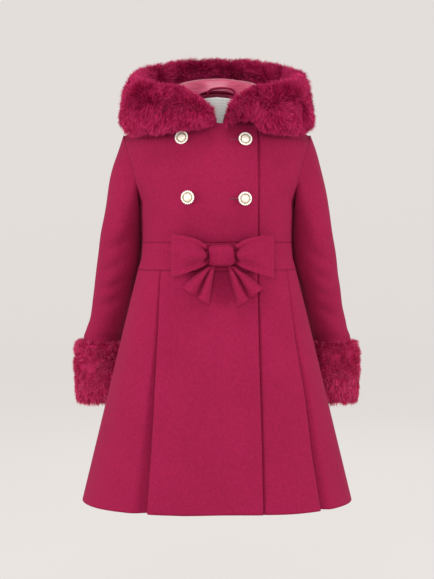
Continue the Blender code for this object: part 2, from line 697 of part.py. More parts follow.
def hanger_loop(name):
    curve = bpy.data.curves.new(name, "CURVE")
    curve.dimensions = "3D"
    curve.bevel_depth = LOOP_RADIUS
    curve.bevel_resolution = 2
    curve.use_fill_caps = True
    path = curve.splines.new("POLY")
    turns = np.linspace(0, math.pi, 13)
    path.points.add(len(turns) - 1)
    feet = back_neck(LOOP_MIDDLE - LOOP_HALF_SPAN * np.cos(turns), np.full(len(turns), LOOP_BELOW_EDGE))
    for point, turn, foot in zip(path.points, turns, feet):
        rise = LOOP_RISE * math.sin(turn) ** 0.6
        point.co = (foot[0], foot[1] - LOOP_INSET, feet[0][2] + rise, 1)
    built = bpy.data.objects.new(name, curve)
    curve.materials.append(material(name, "wool"))
    COAT.objects.link(built)
    return built


def bow_loop(name, table):
    """A band of cloth that runs out from the knot and back behind itself."""
    along = np.linspace(0, 1, 19)
    x, y, top, bottom = table_at(table, along)
    up = np.linspace(0, 1, 6)[:, None]
    z = bottom + (top - bottom) * up
    rows = np.broadcast_to(x, z.shape), np.broadcast_to(y, z.shape), z
    return cloth(name, "wool", np.stack(rows, axis=-1))


def bow_tail(name, table):
    """A hanging end of the bow, with one soft fold down its middle."""
    along = np.linspace(0, 1, 7)
    inner_x, inner_z, outer_x, outer_z, y = (v[:, None] for v in table_at(table, along))
    across = np.linspace(0, 1, 7)
    x = inner_x + (outer_x - inner_x) * across
    z = inner_z + (outer_z - inner_z) * across
    depth = y - BOW_TAIL_FOLD * np.sin(math.pi * across) ** 2 * along[:, None]
    return cloth(name, "wool", np.stack([x, depth, z], axis=-1))


def bow_knot(name):
    """The tight wrap round the bow's middle: a rounded block."""
    turn = np.linspace(0, 2 * math.pi, 16, endpoint=False)
    rings = []
    for share, scale in ((-1, 0.80), (-0.9, 0.94), (-0.5, 1), (0.5, 1), (0.9, 0.94), (1, 0.80)):
        y = np.sign(np.cos(turn)) * np.abs(np.cos(turn)) ** 0.7 * KNOT_HALF[1] * scale
        z = np.sign(np.sin(turn)) * np.abs(np.sin(turn)) ** 0.7 * KNOT_HALF[2] * scale
        x = np.full(16, share * KNOT_HALF[0])
        rings.append(np.stack([x, y, z], axis=-1) + np.array(KNOT_MIDDLE))
    return solid(name, "wool", np.array(rings))


def front_face(x, z):
    """The point of the right front's outer face at x and z, and the direction out of it."""
    knots = np.arange(len(FRONT_ROWS))
    heights = np.array([row[0] for row in FRONT_ROWS])

    def depth(at_x, at_z):
        level = np.interp(at_z, heights, knots)
        middle = spline(knots, [row[1] for row in FRONT_ROWS], level)
        end_x = spline(knots, [row[2] for row in FRONT_ROWS], level)
        end_y = spline(knots, [row[3] for row in FRONT_ROWS], level)
        last = np.radians(spline(knots, [row[5] for row in FRONT_ROWS], level))
        angle = np.arcsin((abs(at_x) / end_x) ** (1 / FRONT_ROUND) * np.sin(last))
        around = (1 - np.cos(angle) ** FRONT_ROUND) / (1 - np.cos(last) ** FRONT_ROUND)
        lift = overlap_lift(np.array([-at_x]), True)[0]
        return float(middle + (end_y - middle) * around - lift)

    step = 0.004
    slope_x = (depth(x + step, z) - depth(x - step, z)) / (2 * step)
    slope_z = (depth(x, z + step) - depth(x, z - step)) / (2 * step)
    normal = np.array([slope_x, -1, slope_z])
    normal /= np.linalg.norm(normal)
    return np.array([x, depth(x, z), z]) + normal * WALL / 2, normal


def button(name, x, z):
    """A pearl in a round rim, turned on its own axis and laid on the front."""
    seat, normal = front_face(x, z)
    side = np.cross([0, 0, 1.0], normal)
    side /= np.linalg.norm(side)
    up = np.cross(normal, side)
    turn = np.linspace(0, 2 * math.pi, BUTTON_SIDES, endpoint=False)
    rings = []
    for radius, height in BUTTON_PROFILE:
        ring = radius * (np.outer(np.cos(turn), side) + np.outer(np.sin(turn), up))
        rings.append(seat + normal * (height + BUTTON_SEAT) + ring)
    return solid(name, "pearl", np.array(rings))


def clear_scene():
    for old in list(bpy.data.objects):
        bpy.data.objects.remove(old, do_unlink=True)


def build():
    bodice_front("bodice_front_right", True)
    bodice_front("bodice_front_left", False)
    bodice_back("bodice_back")
    waistband_front("waistband_front_right", True)
    waistband_front("waistband_front_left", False)
    waistband_back("waistband_back")
    skirt_front("skirt_front_right", True, RIGHT_PLEAT)
    skirt_front("skirt_front_left", False, LEFT_PLEAT)
    skirt_back("skirt_back")
    for side, word in ((-1, "right"), (1, "left")):
        sleeve(f"sleeve_{word}", side)
        cuff(f"cuff_{word}", side)
        hood_shell(f"hood_{word}", side)
        trim_side(f"hood_trim_{word}", side)
    trim_back("hood_trim_back")
    hood_lining("hood_lining")
    neck_patch("neck_tape", "tape", TAPE_HALF_WIDTH, TAPE_BELOW_EDGE, TAPE_HEIGHT)
    neck_patch("neck_label", "label", LABEL_HALF_WIDTH, LABEL_BELOW_EDGE, LABEL_HEIGHT)
    hanger_loop("hanger_loop")
    bow_loop("bow_loop_right", BOW_RIGHT_LOOP)
    bow_loop("bow_loop_left", BOW_LEFT_LOOP)
    bow_tail("bow_tail_right", BOW_RIGHT_TAIL)
    bow_tail("bow_tail_left", BOW_LEFT_TAIL)
    bow_knot("bow_knot")
    for number, (x, z) in enumerate(BUTTONS, 1):
        button(f"button_{number}", x, z)


clear_scene()
COAT = bpy.data.collections.new("princess_coat")
bpy.context.scene.collection.children.link(COAT)
build()
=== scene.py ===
"""The looks of a girl's crimson princess coat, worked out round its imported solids.

Every cloth panel is a thin shell on its solid's own form, with more points, soft troughs and rolled
edges. Fur is a skin with many tapered locks, as long as the pile. Metres, +Z up, the front faces -Y.
"""

import logging
import math
from dataclasses import dataclass, field
from enum import Enum

import bpy
import numpy as np
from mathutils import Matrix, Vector


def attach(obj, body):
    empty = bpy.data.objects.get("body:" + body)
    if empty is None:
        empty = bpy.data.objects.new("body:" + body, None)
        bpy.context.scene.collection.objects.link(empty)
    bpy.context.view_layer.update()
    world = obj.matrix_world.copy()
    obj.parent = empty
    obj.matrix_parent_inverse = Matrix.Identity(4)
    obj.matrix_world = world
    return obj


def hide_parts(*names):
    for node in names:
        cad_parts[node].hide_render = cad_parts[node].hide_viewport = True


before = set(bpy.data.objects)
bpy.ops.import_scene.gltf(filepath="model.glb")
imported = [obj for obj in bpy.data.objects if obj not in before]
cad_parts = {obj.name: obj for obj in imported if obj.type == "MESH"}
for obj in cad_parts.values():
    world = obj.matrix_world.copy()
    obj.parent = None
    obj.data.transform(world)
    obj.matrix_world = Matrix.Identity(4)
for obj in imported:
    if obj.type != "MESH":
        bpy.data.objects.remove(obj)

LOG = logging.getLogger("princess_coat")
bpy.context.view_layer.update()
# How far the rim of a cut edge stands out, as a share of its wall
ROUNDED_EDGE = 0.12

Table = tuple[tuple[float, ...], ...]


class Side(Enum):
    """The wearer's right lies at -X, the left at +X."""

    RIGHT = -1
    LEFT = 1

    @property
    def word(self) -> str:
        """The side's name, as the nodes have it."""
        return self.name.lower()


class Slot(Enum):
    """The record's material slots."""

    WOOL = "wool"
    FUR = "fur"
    LINING = "lining"
    TAPE = "tape"
    LABEL = "label"
    PEARL = "pearl"


# Smooth curves through short tables


def row_slopes(knots: np.ndarray, values: np.ndarray) -> np.ndarray:
    """Slope at each row: the harmonic mean of the two beside it, and none at a peak.

    Args:
        knots: the places of the rows, rising.
        values: the rows, one for each place.

    Returns:
        The slopes, shaped like values.
    """
    steps = np.diff(knots).reshape((-1,) + (1,) * (values.ndim - 1))
    secants = np.diff(values, axis=0) / steps
    before, after = secants[:-1], secants[1:]
    same_way = before * after > 0
    total = np.where(same_way, before + after, 1)
    middle = np.where(same_way, 2 * before * after / total, 0)
    return np.concatenate([secants[:1], middle, secants[-1:]])


def spline(knots, values, at) -> np.ndarray:
    """A cubic from row to row that keeps each row's slope and never passes beyond the rows.

    Args:
        knots: the places of the rows, rising.
        values: the rows.
        at: the places wanted.

    Returns:
        The values there.
    """
    knots, values = np.asarray(knots, float), np.asarray(values, float)
    at = np.clip(np.asarray(at, float), knots[0], knots[-1])
    slopes = row_slopes(knots, values)
    row = np.clip(np.searchsorted(knots, at, side="right") - 1, 0, len(knots) - 2)
    step = knots[row + 1] - knots[row]
    t = (at - knots[row]) / step
    more = (...,) + (None,) * (values.ndim - 1)
    t, step = t[more], step[more]
    start = (1 + 2 * t) * (1 - t) ** 2 * values[row] + t * (1 - t) ** 2 * step * slopes[row]
    end = t**2 * (3 - 2 * t) * values[row + 1] - t**2 * (1 - t) * step * slopes[row + 1]
    return start + end


def table_at(table: Table, at) -> np.ndarray:
    """The columns of a table after its first, at places in its first column.

    Args:
        table: rows whose first number rises.
        at: the places wanted.

    Returns:
        One array for each column.
    """
    rows = np.array(table, float)
    return np.moveaxis(spline(rows[:, 0], rows[:, 1:], at), -1, 0)


def smooth_step(value) -> np.ndarray:
    """3v squared less 2v cubed, held between 0 and 1."""
    value = np.clip(value, 0, 1)
    return value * value * (3 - 2 * value)


def mirrored(points: np.ndarray, side: int) -> np.ndarray:
    """The same points with x multiplied by side, which is -1 or 1."""
    return points * np.array([side, 1, 1])


def grid_normals(grid: np.ndarray, closed_columns: bool = False) -> np.ndarray:
    """Unit normals of a grid: the cross product of its column and row directions.

    Args:
        grid: points in rows and columns.
        closed_columns: whether the last column meets the first.

    Returns:
        One normal for each point.
    """
    if closed_columns:
        wrapped = np.concatenate([grid[:, -2:], grid, grid[:, :2]], axis=1)
        across = np.gradient(wrapped, axis=1)[:, 2:-2]
    else:
        across = np.gradient(grid, axis=1)
    normal = np.cross(across, np.gradient(grid, axis=0))
    return normal / np.maximum(np.linalg.norm(normal, axis=-1, keepdims=True), 1e-12)


def waves(points: np.ndarray, size: float, seed: int) -> np.ndarray:
    """Soft unevenness between -1 and 1: the mean of six sine waves in seeded directions.

    Args:
        points: places, whose last axis is x, y, z.
        size: the length of a wave in metres.
        seed: picks the directions and phases.

    Returns:
        One value for each point.
    """
    draw = np.random.default_rng(seed)
    ways = draw.normal(size=(6, 3))
    ways /= np.linalg.norm(ways, axis=1, keepdims=True)
    phases = draw.uniform(0, 2 * math.pi, 6)
    rates = 2 * math.pi / size * draw.uniform(0.75, 1.35, 6)
    return np.sin(points @ (ways * rates[:, None]).T + phases).mean(axis=-1) * 1.8


def trough(points: np.ndarray, start, end, width: float, depth: float) -> np.ndarray:
    """Depth of a soft crease: a bell across the line from start to end that fades at its ends.

    Args:
        points: places on the cloth.
        start: one end of the crease.
        end: the other end.
        width: half its width in metres.
        depth: how far it goes in, or out where it is negative.

    Returns:
        The movement along the normal for each point.
    """
    start, end = np.asarray(start, float), np.asarray(end, float)
    way = end - start
    share = np.clip(((points - start) @ way) / (way @ way), 0, 1)
    away = np.linalg.norm(points - (start + share[..., None] * way), axis=-1)
    fade = np.sin(math.pi * np.clip(share * 0.9 + 0.05, 0, 1)) ** 0.7
    return -depth * np.exp(-((away / width) ** 2)) * fade


# Meshes


@dataclass
class Part:
    """Points, the faces between them and their material, as one share of a mesh."""

    points: np.ndarray
    faces: np.ndarray
    material: bpy.types.Material
    values: dict[str, np.ndarray] = field(default_factory=dict)


def make_object(name: str, node: str, parts: list[Part]) -> bpy.types.Object:
    """One smooth mesh object at the origin, riding on the coat in place of its CAD node.

    Args:
        name: the piece's name.
        node: the CAD node that it stands for.
        parts: its shares, whose faces may have three or four corners each.

    Returns:
        The object.
    """
    mesh = bpy.data.meshes.new(name)
    starts = np.cumsum([0] + [len(part.points) for part in parts])
    corners = np.concatenate([(part.faces + start).ravel() for part, start in zip(parts, starts)])
    sizes = np.concatenate([np.full(len(part.faces), part.faces.shape[1]) for part in parts])
    finishes = list(dict.fromkeys(part.material for part in parts))
    which = np.concatenate([np.full(len(part.faces), finishes.index(part.material)) for part in parts])
    mesh.vertices.add(int(starts[-1]))
    mesh.vertices.foreach_set("co", np.concatenate([p.points for p in parts]).astype(np.float32).ravel())
    mesh.loops.add(len(corners))
    mesh.loops.foreach_set("vertex_index", corners.astype(np.int32))
    mesh.polygons.add(len(sizes))
    mesh.polygons.foreach_set("loop_start", (np.cumsum(sizes) - sizes).astype(np.int32))
    for finish in finishes:
        mesh.materials.append(finish)
    mesh.polygons.foreach_set("material_index", which.astype(np.int32))
    for value_name in parts[0].values:
        layer = mesh.attributes.new(value_name, "FLOAT", "POINT")
        values = np.concatenate([part.values[value_name] for part in parts])
        layer.data.foreach_set("value", values.astype(np.float32))
    mesh.update(calc_edges=True)
    mesh.shade_smooth()
    piece = bpy.data.objects.new(name, mesh)
    bpy.context.scene.collection.objects.link(piece)
    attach(piece, "root")
    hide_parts(node)
    return piece


def grid_faces(rows: int, columns: int, closed_rows: bool, closed_columns: bool) -> np.ndarray:
    """Four-sided faces between neighbours of a grid, round it where it closes."""
    last_row = rows if closed_rows else rows - 1
    last_column = columns if closed_columns else columns - 1
    i, j = np.meshgrid(np.arange(last_row), np.arange(last_column), indexing="ij")
    k, m = (i + 1) % rows, (j + 1) % columns
    ring = [i * columns + j, i * columns + m, k * columns + m, k * columns + j]
    return np.stack([side.ravel() for side in ring], axis=1)


def rim_faces(outer: np.ndarray, inner: np.ndarray) -> np.ndarray:
    """Faces that join a closed loop of points to the same loop of another surface."""
    return np.stack([outer, inner, np.roll(inner, -1), np.roll(outer, -1)], axis=1)


@dataclass
class Cloth:
    """A cut piece of cloth: its middle surface in rows and columns, and how thick it is.

    The cut's outer face lies on the side that the cross product of its column and row directions
    points to, or on the other side where face is -1.
    """

    name: str
    grid: np.ndarray
    slot: Slot = Slot.WOOL
    wall: float = 0.002
    closed: bool = False
    face: int = 1

    def build(self, material: bpy.types.Material, held: str = "hung") -> bpy.types.Object:
        """Makes the shell: the middle surface moved half a wall out and in, with a rounded rim.

        Args:
            material: the cloth's finish.

        Returns:
            The piece.
        """
        rows, columns = self.grid.shape[:2]
        half_wall = grid_normals(self.grid, self.closed) * self.face * self.wall / 2
        outer, inner = (self.grid + half_wall).reshape(-1, 3), (self.grid - half_wall).reshape(-1, 3)
        count = rows * columns
        number = np.arange(count).reshape(rows, columns)
        if self.closed:
            loops = [number[0], number[-1][::-1]]
        else:
            loops = [np.concatenate([number[0], number[1:, -1], number[-1, -2::-1], number[-2:0:-1, 0]])]
        sides = grid_faces(rows, columns, False, self.closed)
        points, faces, first = [outer, inner], [sides, sides[:, ::-1] + count], 2 * count
        for loop in loops:
            row, column = np.divmod(loop, columns)
            column = column if self.closed else np.clip(column, 1, columns - 2)
            middle = (outer[loop] + inner[loop]) / 2
            away = middle - self.grid[np.clip(row, 1, rows - 2), column]
            away /= np.maximum(np.linalg.norm(away, axis=1, keepdims=True), 1e-9)
            points.append(middle + away * self.wall * ROUNDED_EDGE)
            rim = first + np.arange(len(loop))
            faces += [rim_faces(loop, rim), rim_faces(rim, loop + count)]
            first += len(loop)
        all_faces = np.concatenate(faces)[:, :: self.face]
        piece = make_object(
            f"{self.name}_cloth", self.name, [Part(np.concatenate(points), all_faces, material)]
        )
        return piece


# Finishes


def linear_colour(code: str) -> tuple[float, float, float, float]:
    """An sRGB hex value as linear light.

    Args:
        code: six hex digits.

    Returns:
        Red, green, blue and a full alpha.
    """
    shares = [int(code[i : i + 2], 16) / 255 for i in (0, 2, 4)]
    light = [s / 12.92 if s <= 0.04045 else ((s + 0.055) / 1.055) ** 2.4 for s in shares]
    return (*light, 1.0)


def add_node(tree: bpy.types.NodeTree, kind: str, settings: dict | None = None, **links):
    """Adds one node with its settings and links.

    Args:
        tree: the material's nodes.
        kind: the node's type.
        settings: its own properties, and socket values under their names or numbers.
        links: for a socket by its name, spaces as underscores, the socket that feeds it.

    Returns:
        The node.
    """
    node = tree.nodes.new(kind)
    for name, value in (settings or {}).items():
        if isinstance(name, int) or name in node.inputs:
            node.inputs[name].default_value = value
        else:
            setattr(node, name, value)
    for name, source in links.items():
        key = int(name[1:]) if name[1:].isdigit() and name[0] == "i" else name.replace("_", " ")
        tree.links.new(source, node.inputs[key])
    return node


def colour_ramp(tree: bpy.types.NodeTree, factor, stops: tuple[tuple[float, str], ...]):
    """A ramp from one hex colour to the next at the given places, fed by factor."""
    node = add_node(tree, "ShaderNodeValToRGB", Fac=factor)
    ramp = node.color_ramp
    ramp.elements[0].position, ramp.elements[1].position = stops[0][0], stops[-1][0]
    ramp.elements[0].color = linear_colour(stops[0][1])
    ramp.elements[1].color = linear_colour(stops[-1][1])
    for place, code in stops[1:-1]:
        ramp.elements.new(place).color = linear_colour(code)
    return node.outputs["Color"]


def new_material(name: str):
    """An empty node material with its shader and its output joined."""
    material = bpy.data.materials.new(name)
    material.use_nodes = True
    tree = material.node_tree
    tree.nodes.clear()
    shader = add_node(tree, "ShaderNodeBsdfPrincipled")
    add_node(tree, "ShaderNodeOutputMaterial", Surface=shader.outputs["BSDF"])
    return material, tree, shader


@dataclass(frozen=True)
class WoolFelt:
    """Fulled wool coating: a woven cloth felted until its nap hides the weave, so it is matt and soft."""

    deep: str = "7b0f35"
    body: str = "84123a"
    light: str = "8e1640"
    nap_mm: float = 1.9
    fleck_mm: float = 3.2
    shade_mm: float = 90.0

    def make(self, name: str) -> bpy.types.Material:
        """The felt, with flecks of lighter and deeper fibre, a fine nap and a soft sheen."""
        material, tree, shader = new_material(name)
        place = add_node(tree, "ShaderNodeTexCoord").outputs["Object"]
        fleck = add_node(
            tree, "ShaderNodeTexNoise", {"Scale": 1000 / self.fleck_mm, "Detail": 4.0, "Roughness": 0.65},
            Vector=place,
        ).outputs["Fac"]
        shade = add_node(
            tree, "ShaderNodeTexNoise", {"Scale": 1000 / self.shade_mm, "Detail": 2.0}, Vector=place
        ).outputs["Fac"]
        nap = add_node(
            tree, "ShaderNodeTexNoise", {"Scale": 1000 / self.nap_mm, "Detail": 5.0, "Roughness": 0.7},
            Vector=place,
        ).outputs["Fac"]
        mixed = add_node(tree, "ShaderNodeMath", {"operation": "MULTIPLY_ADD", 1: 0.8}, i0=fleck)
        tree.links.new(
            add_node(tree, "ShaderNodeMath", {"operation": "MULTIPLY", 1: 0.2}, i0=shade).outputs[0],
            mixed.inputs[2],
        )
        stops = ((0.34, self.deep), (0.5, self.body), (0.66, self.light))
        tree.links.new(colour_ramp(tree, mixed.outputs[0], stops), shader.inputs["Base Color"])
        bump = add_node(tree, "ShaderNodeBump", {"Strength": 0.55, "Distance": 0.0006}, Height=nap)
        tree.links.new(bump.outputs["Normal"], shader.inputs["Normal"])
        shader.inputs["Roughness"].default_value = 0.95
        shader.inputs["Specular IOR Level"].default_value = 0.15
        shader.inputs["Sheen Weight"].default_value = 0.08
        shader.inputs["Sheen Roughness"].default_value = 0.45
        shader.inputs["Sheen Tint"].default_value = linear_colour("d8486f")
        return material


@dataclass(frozen=True)
class PileFur:
    """Knitted faux fur: fine crimped fibre in soft locks, with painted shade at the root and a painted highlight
    towards the tip.
    """

    # Root, middle and tip colours: painted shade at the root, painted highlight at the tip
    root: str = "640628"
    middle: str = "980b3e"
    tip: str = "bd3165"

    def make(self, name: str) -> bpy.types.Material:
        """The fibre, coloured by its own height, with painted shade low in the pile and a painted highlight at the
        tips, and by each lock's own tone.
        """
        material, tree, shader = new_material(name)
        along = add_node(tree, "ShaderNodeAttribute", {"attribute_name": "along"}).outputs["Fac"]
        tone = add_node(tree, "ShaderNodeAttribute", {"attribute_name": "tone"}).outputs["Fac"]
        height = add_node(tree, "ShaderNodeMath", {"operation": "MULTIPLY_ADD", 1: 0.75}, i0=along)
        tree.links.new(
            add_node(tree, "ShaderNodeMath", {"operation": "MULTIPLY", 1: 0.35}, i0=tone).outputs[0],
            height.inputs[2],
        )
        # Darker at the root and lighter at the tip: painted shade inside the pile and a painted highlight on its tips
        stops = ((0.05, self.root), (0.55, self.middle), (1.0, self.tip))
        tree.links.new(colour_ramp(tree, height.outputs[0], stops), shader.inputs["Base Color"])
        shader.inputs["Roughness"].default_value = 0.55
        shader.inputs["Specular IOR Level"].default_value = 0.08
        shader.inputs["Sheen Weight"].default_value = 0.03
        shader.inputs["Sheen Tint"].default_value = linear_colour("d8507c")
        return material


@dataclass(frozen=True)
class SatinLining:
    """Polyester satin: a smooth long-float weave, so it has a bright soft gloss and fine crosswise slubs."""

    deep: str = "9c2f51"
    body: str = "bf4668"
    thread_mm: float = 0.9

    def make(self, name: str) -> bpy.types.Material:
        """The satin, with its slub threads as colour and a little bump."""
        material, tree, shader = new_material(name)
        place = add_node(tree, "ShaderNodeTexCoord").outputs["Object"]
        stretched = add_node(tree, "ShaderNodeMapping", {"Scale": (0.12, 0.12, 1.0)}, Vector=place)
        slub = add_node(
            tree, "ShaderNodeTexNoise", {"Scale": 1000 / self.thread_mm / 3, "Detail": 3.0},
            Vector=stretched.outputs["Vector"],
        ).outputs["Fac"]
        colour = colour_ramp(tree, slub, ((0.3, self.deep), (0.6, self.body)))
        tree.links.new(colour, shader.inputs["Base Color"])
        bump = add_node(tree, "ShaderNodeBump", {"Strength": 0.15, "Distance": 0.0002}, Height=slub)
        tree.links.new(bump.outputs["Normal"], shader.inputs["Normal"])
        shader.inputs["Roughness"].default_value = 0.38
        shader.inputs["Sheen Weight"].default_value = 0.3
        return material


@dataclass(frozen=True)
class WovenTape:
    """Twill tape or a woven label: flat threads in fine ribs across the strip."""

    body: str
    shade: str
    rib_mm: float = 1.2

    def make(self, name: str) -> bpy.types.Material:
        """The tape, its ribs drawn about twice as coarse as real so that they show."""
        material, tree, shader = new_material(name)
        place = add_node(tree, "ShaderNodeTexCoord").outputs["Object"]
        rib = add_node(
            tree, "ShaderNodeTexWave",
            {"wave_type": "BANDS", "bands_direction": "Z", "Scale": 1000 / self.rib_mm / 20, "Distortion": 0.6},
            Vector=place,
        ).outputs["Fac"]
        tree.links.new(colour_ramp(tree, rib, ((0.2, self.shade), (0.8, self.body))), shader.inputs["Base Color"])
        bump = add_node(tree, "ShaderNodeBump", {"Strength": 0.2, "Distance": 0.0002}, Height=rib)
        tree.links.new(bump.outputs["Normal"], shader.inputs["Normal"])
        shader.inputs["Roughness"].default_value = 0.6
        return material


@dataclass(frozen=True)
class Pearl:
    """Moulded acrylic with a pearl lacquer: glossy, creamy, with a faint cloudiness below the coat."""

    deep: str
    body: str
    roughness: float = 0.22

    def make(self, name: str) -> bpy.types.Material:
        """The lacquer over its cloudy body."""
        material, tree, shader = new_material(name)
        place = add_node(tree, "ShaderNodeTexCoord").outputs["Object"]
        cloud = add_node(tree, "ShaderNodeTexNoise", {"Scale": 350.0, "Detail": 2.0}, Vector=place)
        stops = ((0.35, self.deep), (0.65, self.body))
        tree.links.new(colour_ramp(tree, cloud.outputs["Fac"], stops), shader.inputs["Base Color"])
        shader.inputs["Roughness"].default_value = self.roughness
        shader.inputs["IOR"].default_value = 1.49
        shader.inputs["Coat Weight"].default_value = 0.6
        shader.inputs["Coat Roughness"].default_value = 0.08
        return material


@dataclass(frozen=True)
class GiltSetting:
    """Thin plated metal under the pearls: pale gold that shows between the beads."""

    deep: str = "b3a488"
    body: str = "ddd0b8"

    def make(self, name: str) -> bpy.types.Material:
        """The plating, with a slightly cloudy polish."""
        material, tree, shader = new_material(name)
        place = add_node(tree, "ShaderNodeTexCoord").outputs["Object"]
        cloud = add_node(tree, "ShaderNodeTexNoise", {"Scale": 600.0}, Vector=place)
        stops = ((0.35, self.deep), (0.65, self.body))
        tree.links.new(colour_ramp(tree, cloud.outputs["Fac"], stops), shader.inputs["Base Color"])
        shader.inputs["Metallic"].default_value = 0.85
        shader.inputs["Roughness"].default_value = 0.35
        return material


# The body's form, which bodice, waistband and skirt share


@dataclass(frozen=True)
class Body:
    """Sections of the coat below its armholes, and the overlap of its fronts."""

    waist_top: float = -0.226
    waist_bottom: float = -0.272
    hem: float = -0.667
    gap: float = 0.0003
    half_seam: float = 0.00025
    overlap_top: float = 0.066
    overlap_hem: float = 0.075
    under_edge: float = 0.044
    lift: float = 0.0026
    press_past: float = 0.0016
    press_width: float = 0.0022
    press_depth: float = 0.0030
    lift_from: float = 0.048
    lift_end: float = 0.080
    front_round: float = 0.833
    back_round: float = 0.90
    sections: Table = (
        (-0.667, 0.2305, 0.165, 0.135),
        (-0.540, 0.1995, 0.145, 0.122),
        (-0.400, 0.1655, 0.1235, 0.1075),
        (-0.272, 0.1340, 0.1035, 0.0940),
        (-0.249, 0.1285, 0.1005, 0.0905),
        (-0.226, 0.1275, 0.1010, 0.0910),
    )

    def outline(self, z: float) -> tuple[np.ndarray, np.ndarray, np.ndarray]:
        """Half the outline at a height: x, y and the distance from the front's middle.

        The outline is a superellipse: half width times sine to a power, depth times cosine to it.
        """
        half_width, front, back = table_at(self.sections, np.array([z]))[:, 0]
        turn = np.linspace(0, math.pi, 721)
        ahead = turn <= math.pi / 2
        power = np.where(ahead, self.front_round, self.back_round)
        x = half_width * np.sin(turn) ** power
        y = -np.where(ahead, front, back) * np.sign(np.cos(turn)) * np.abs(np.cos(turn)) ** power
        x[-1] = 0
        return x, y, np.concatenate([[0], np.cumsum(np.hypot(np.diff(x), np.diff(y)))])

    def seam_length(self, z: float) -> float:
        """The distance along the outline from the front's middle to the side seam."""
        x, _, length = self.outline(z)
        return length[np.argmax(x)]

    def half_girth(self, z: float) -> float:
        """The distance along the outline from the front's middle to the back's."""
        return self.outline(z)[2][-1]

    def at(self, z: float, along: np.ndarray, outward: np.ndarray) -> np.ndarray:
        """Points on the outline, moved out of it.

        Args:
            z: the height.
            along: distances from the front's middle, less than 0 on the other side.
            outward: how far off the outline each point lies.

        Returns:
            The points.
        """
        x, y, length = self.outline(z)
        place, step = np.abs(along), 0.002

        def point(where):
            where = np.clip(where, 0, length[-1])
            return np.stack([np.interp(where, length, x), np.interp(where, length, y)], axis=-1)

        tangent = point(place + step) - point(np.maximum(place - step, 0))
        tangent[place < step] = (1, 0)
        tangent[place > length[-1] - step] = (-1, 0)
        tangent /= np.linalg.norm(tangent, axis=-1, keepdims=True)
        normal = np.stack([tangent[:, 1], -tangent[:, 0]], axis=-1)
        flat = point(place) + normal * outward[:, None]
        side = np.where(along < 0, -1, 1)
        return np.stack([flat[:, 0] * side, flat[:, 1], np.full(len(flat), z)], axis=-1)

    def front_edge(self, z: float, side: Side) -> float:
        """How far past the middle a front reaches, to the other side."""
        if side is Side.LEFT:
            return self.under_edge
        share = np.clip((self.waist_bottom - z) / (self.waist_bottom - self.hem), 0, 1)
        return self.overlap_top + share * (self.overlap_hem - self.overlap_top)

    def overlap_lift(self, along: np.ndarray, side: Side, z: float | None = None) -> np.ndarray:
        """How far a front stands off the body: the right one where it lies on the left one.

        At a height, the left one sinks in a narrow trough along the right one's edge.
        """
        if side is Side.LEFT and z is None:
            return np.zeros_like(along)
        if side is Side.LEFT:
            past = (along - self.front_edge(z, Side.RIGHT) - self.press_past) / self.press_width
            return -self.press_depth * np.exp(-(past ** 2))
        return self.lift * (1 - smooth_step((along - self.lift_from) / (self.lift_end - self.lift_from)))

    def fine_near_edge(self, start: float, edge: float, end: float, columns: int) -> np.ndarray:
        """Places from start to end in rising order, a third of them close to an edge between them."""
        near = before = columns // 3
        room = 0.05 * (end - start)
        return np.concatenate([
            np.linspace(start, edge - room, before, endpoint=False),
            np.linspace(edge - room, edge + room, near, endpoint=False),
            np.linspace(edge + room, end, columns - near - before),
        ])

    def settle(self, z: float, along: np.ndarray, outward: np.ndarray, side: int, relief) -> np.ndarray:
        """Points on the outline with a relief added, the same for all the layers at one place."""
        flat = mirrored(self.at(z, along, np.zeros_like(along)), side)
        return mirrored(self.at(z, along, outward + relief(flat)), side)


BODY = Body()


@dataclass(frozen=True)
class Crease:
    """One soft trough, or ridge where its depth is below 0, from one place to another."""

    start: tuple[float, float, float]
    end: tuple[float, float, float]
    width: float
    depth: float


def creased(points: np.ndarray, creases: tuple[Crease, ...]) -> np.ndarray:
    """The sum of the creases' movement at each point."""
    return sum(trough(points, c.start, c.end, c.width, c.depth) for c in creases)


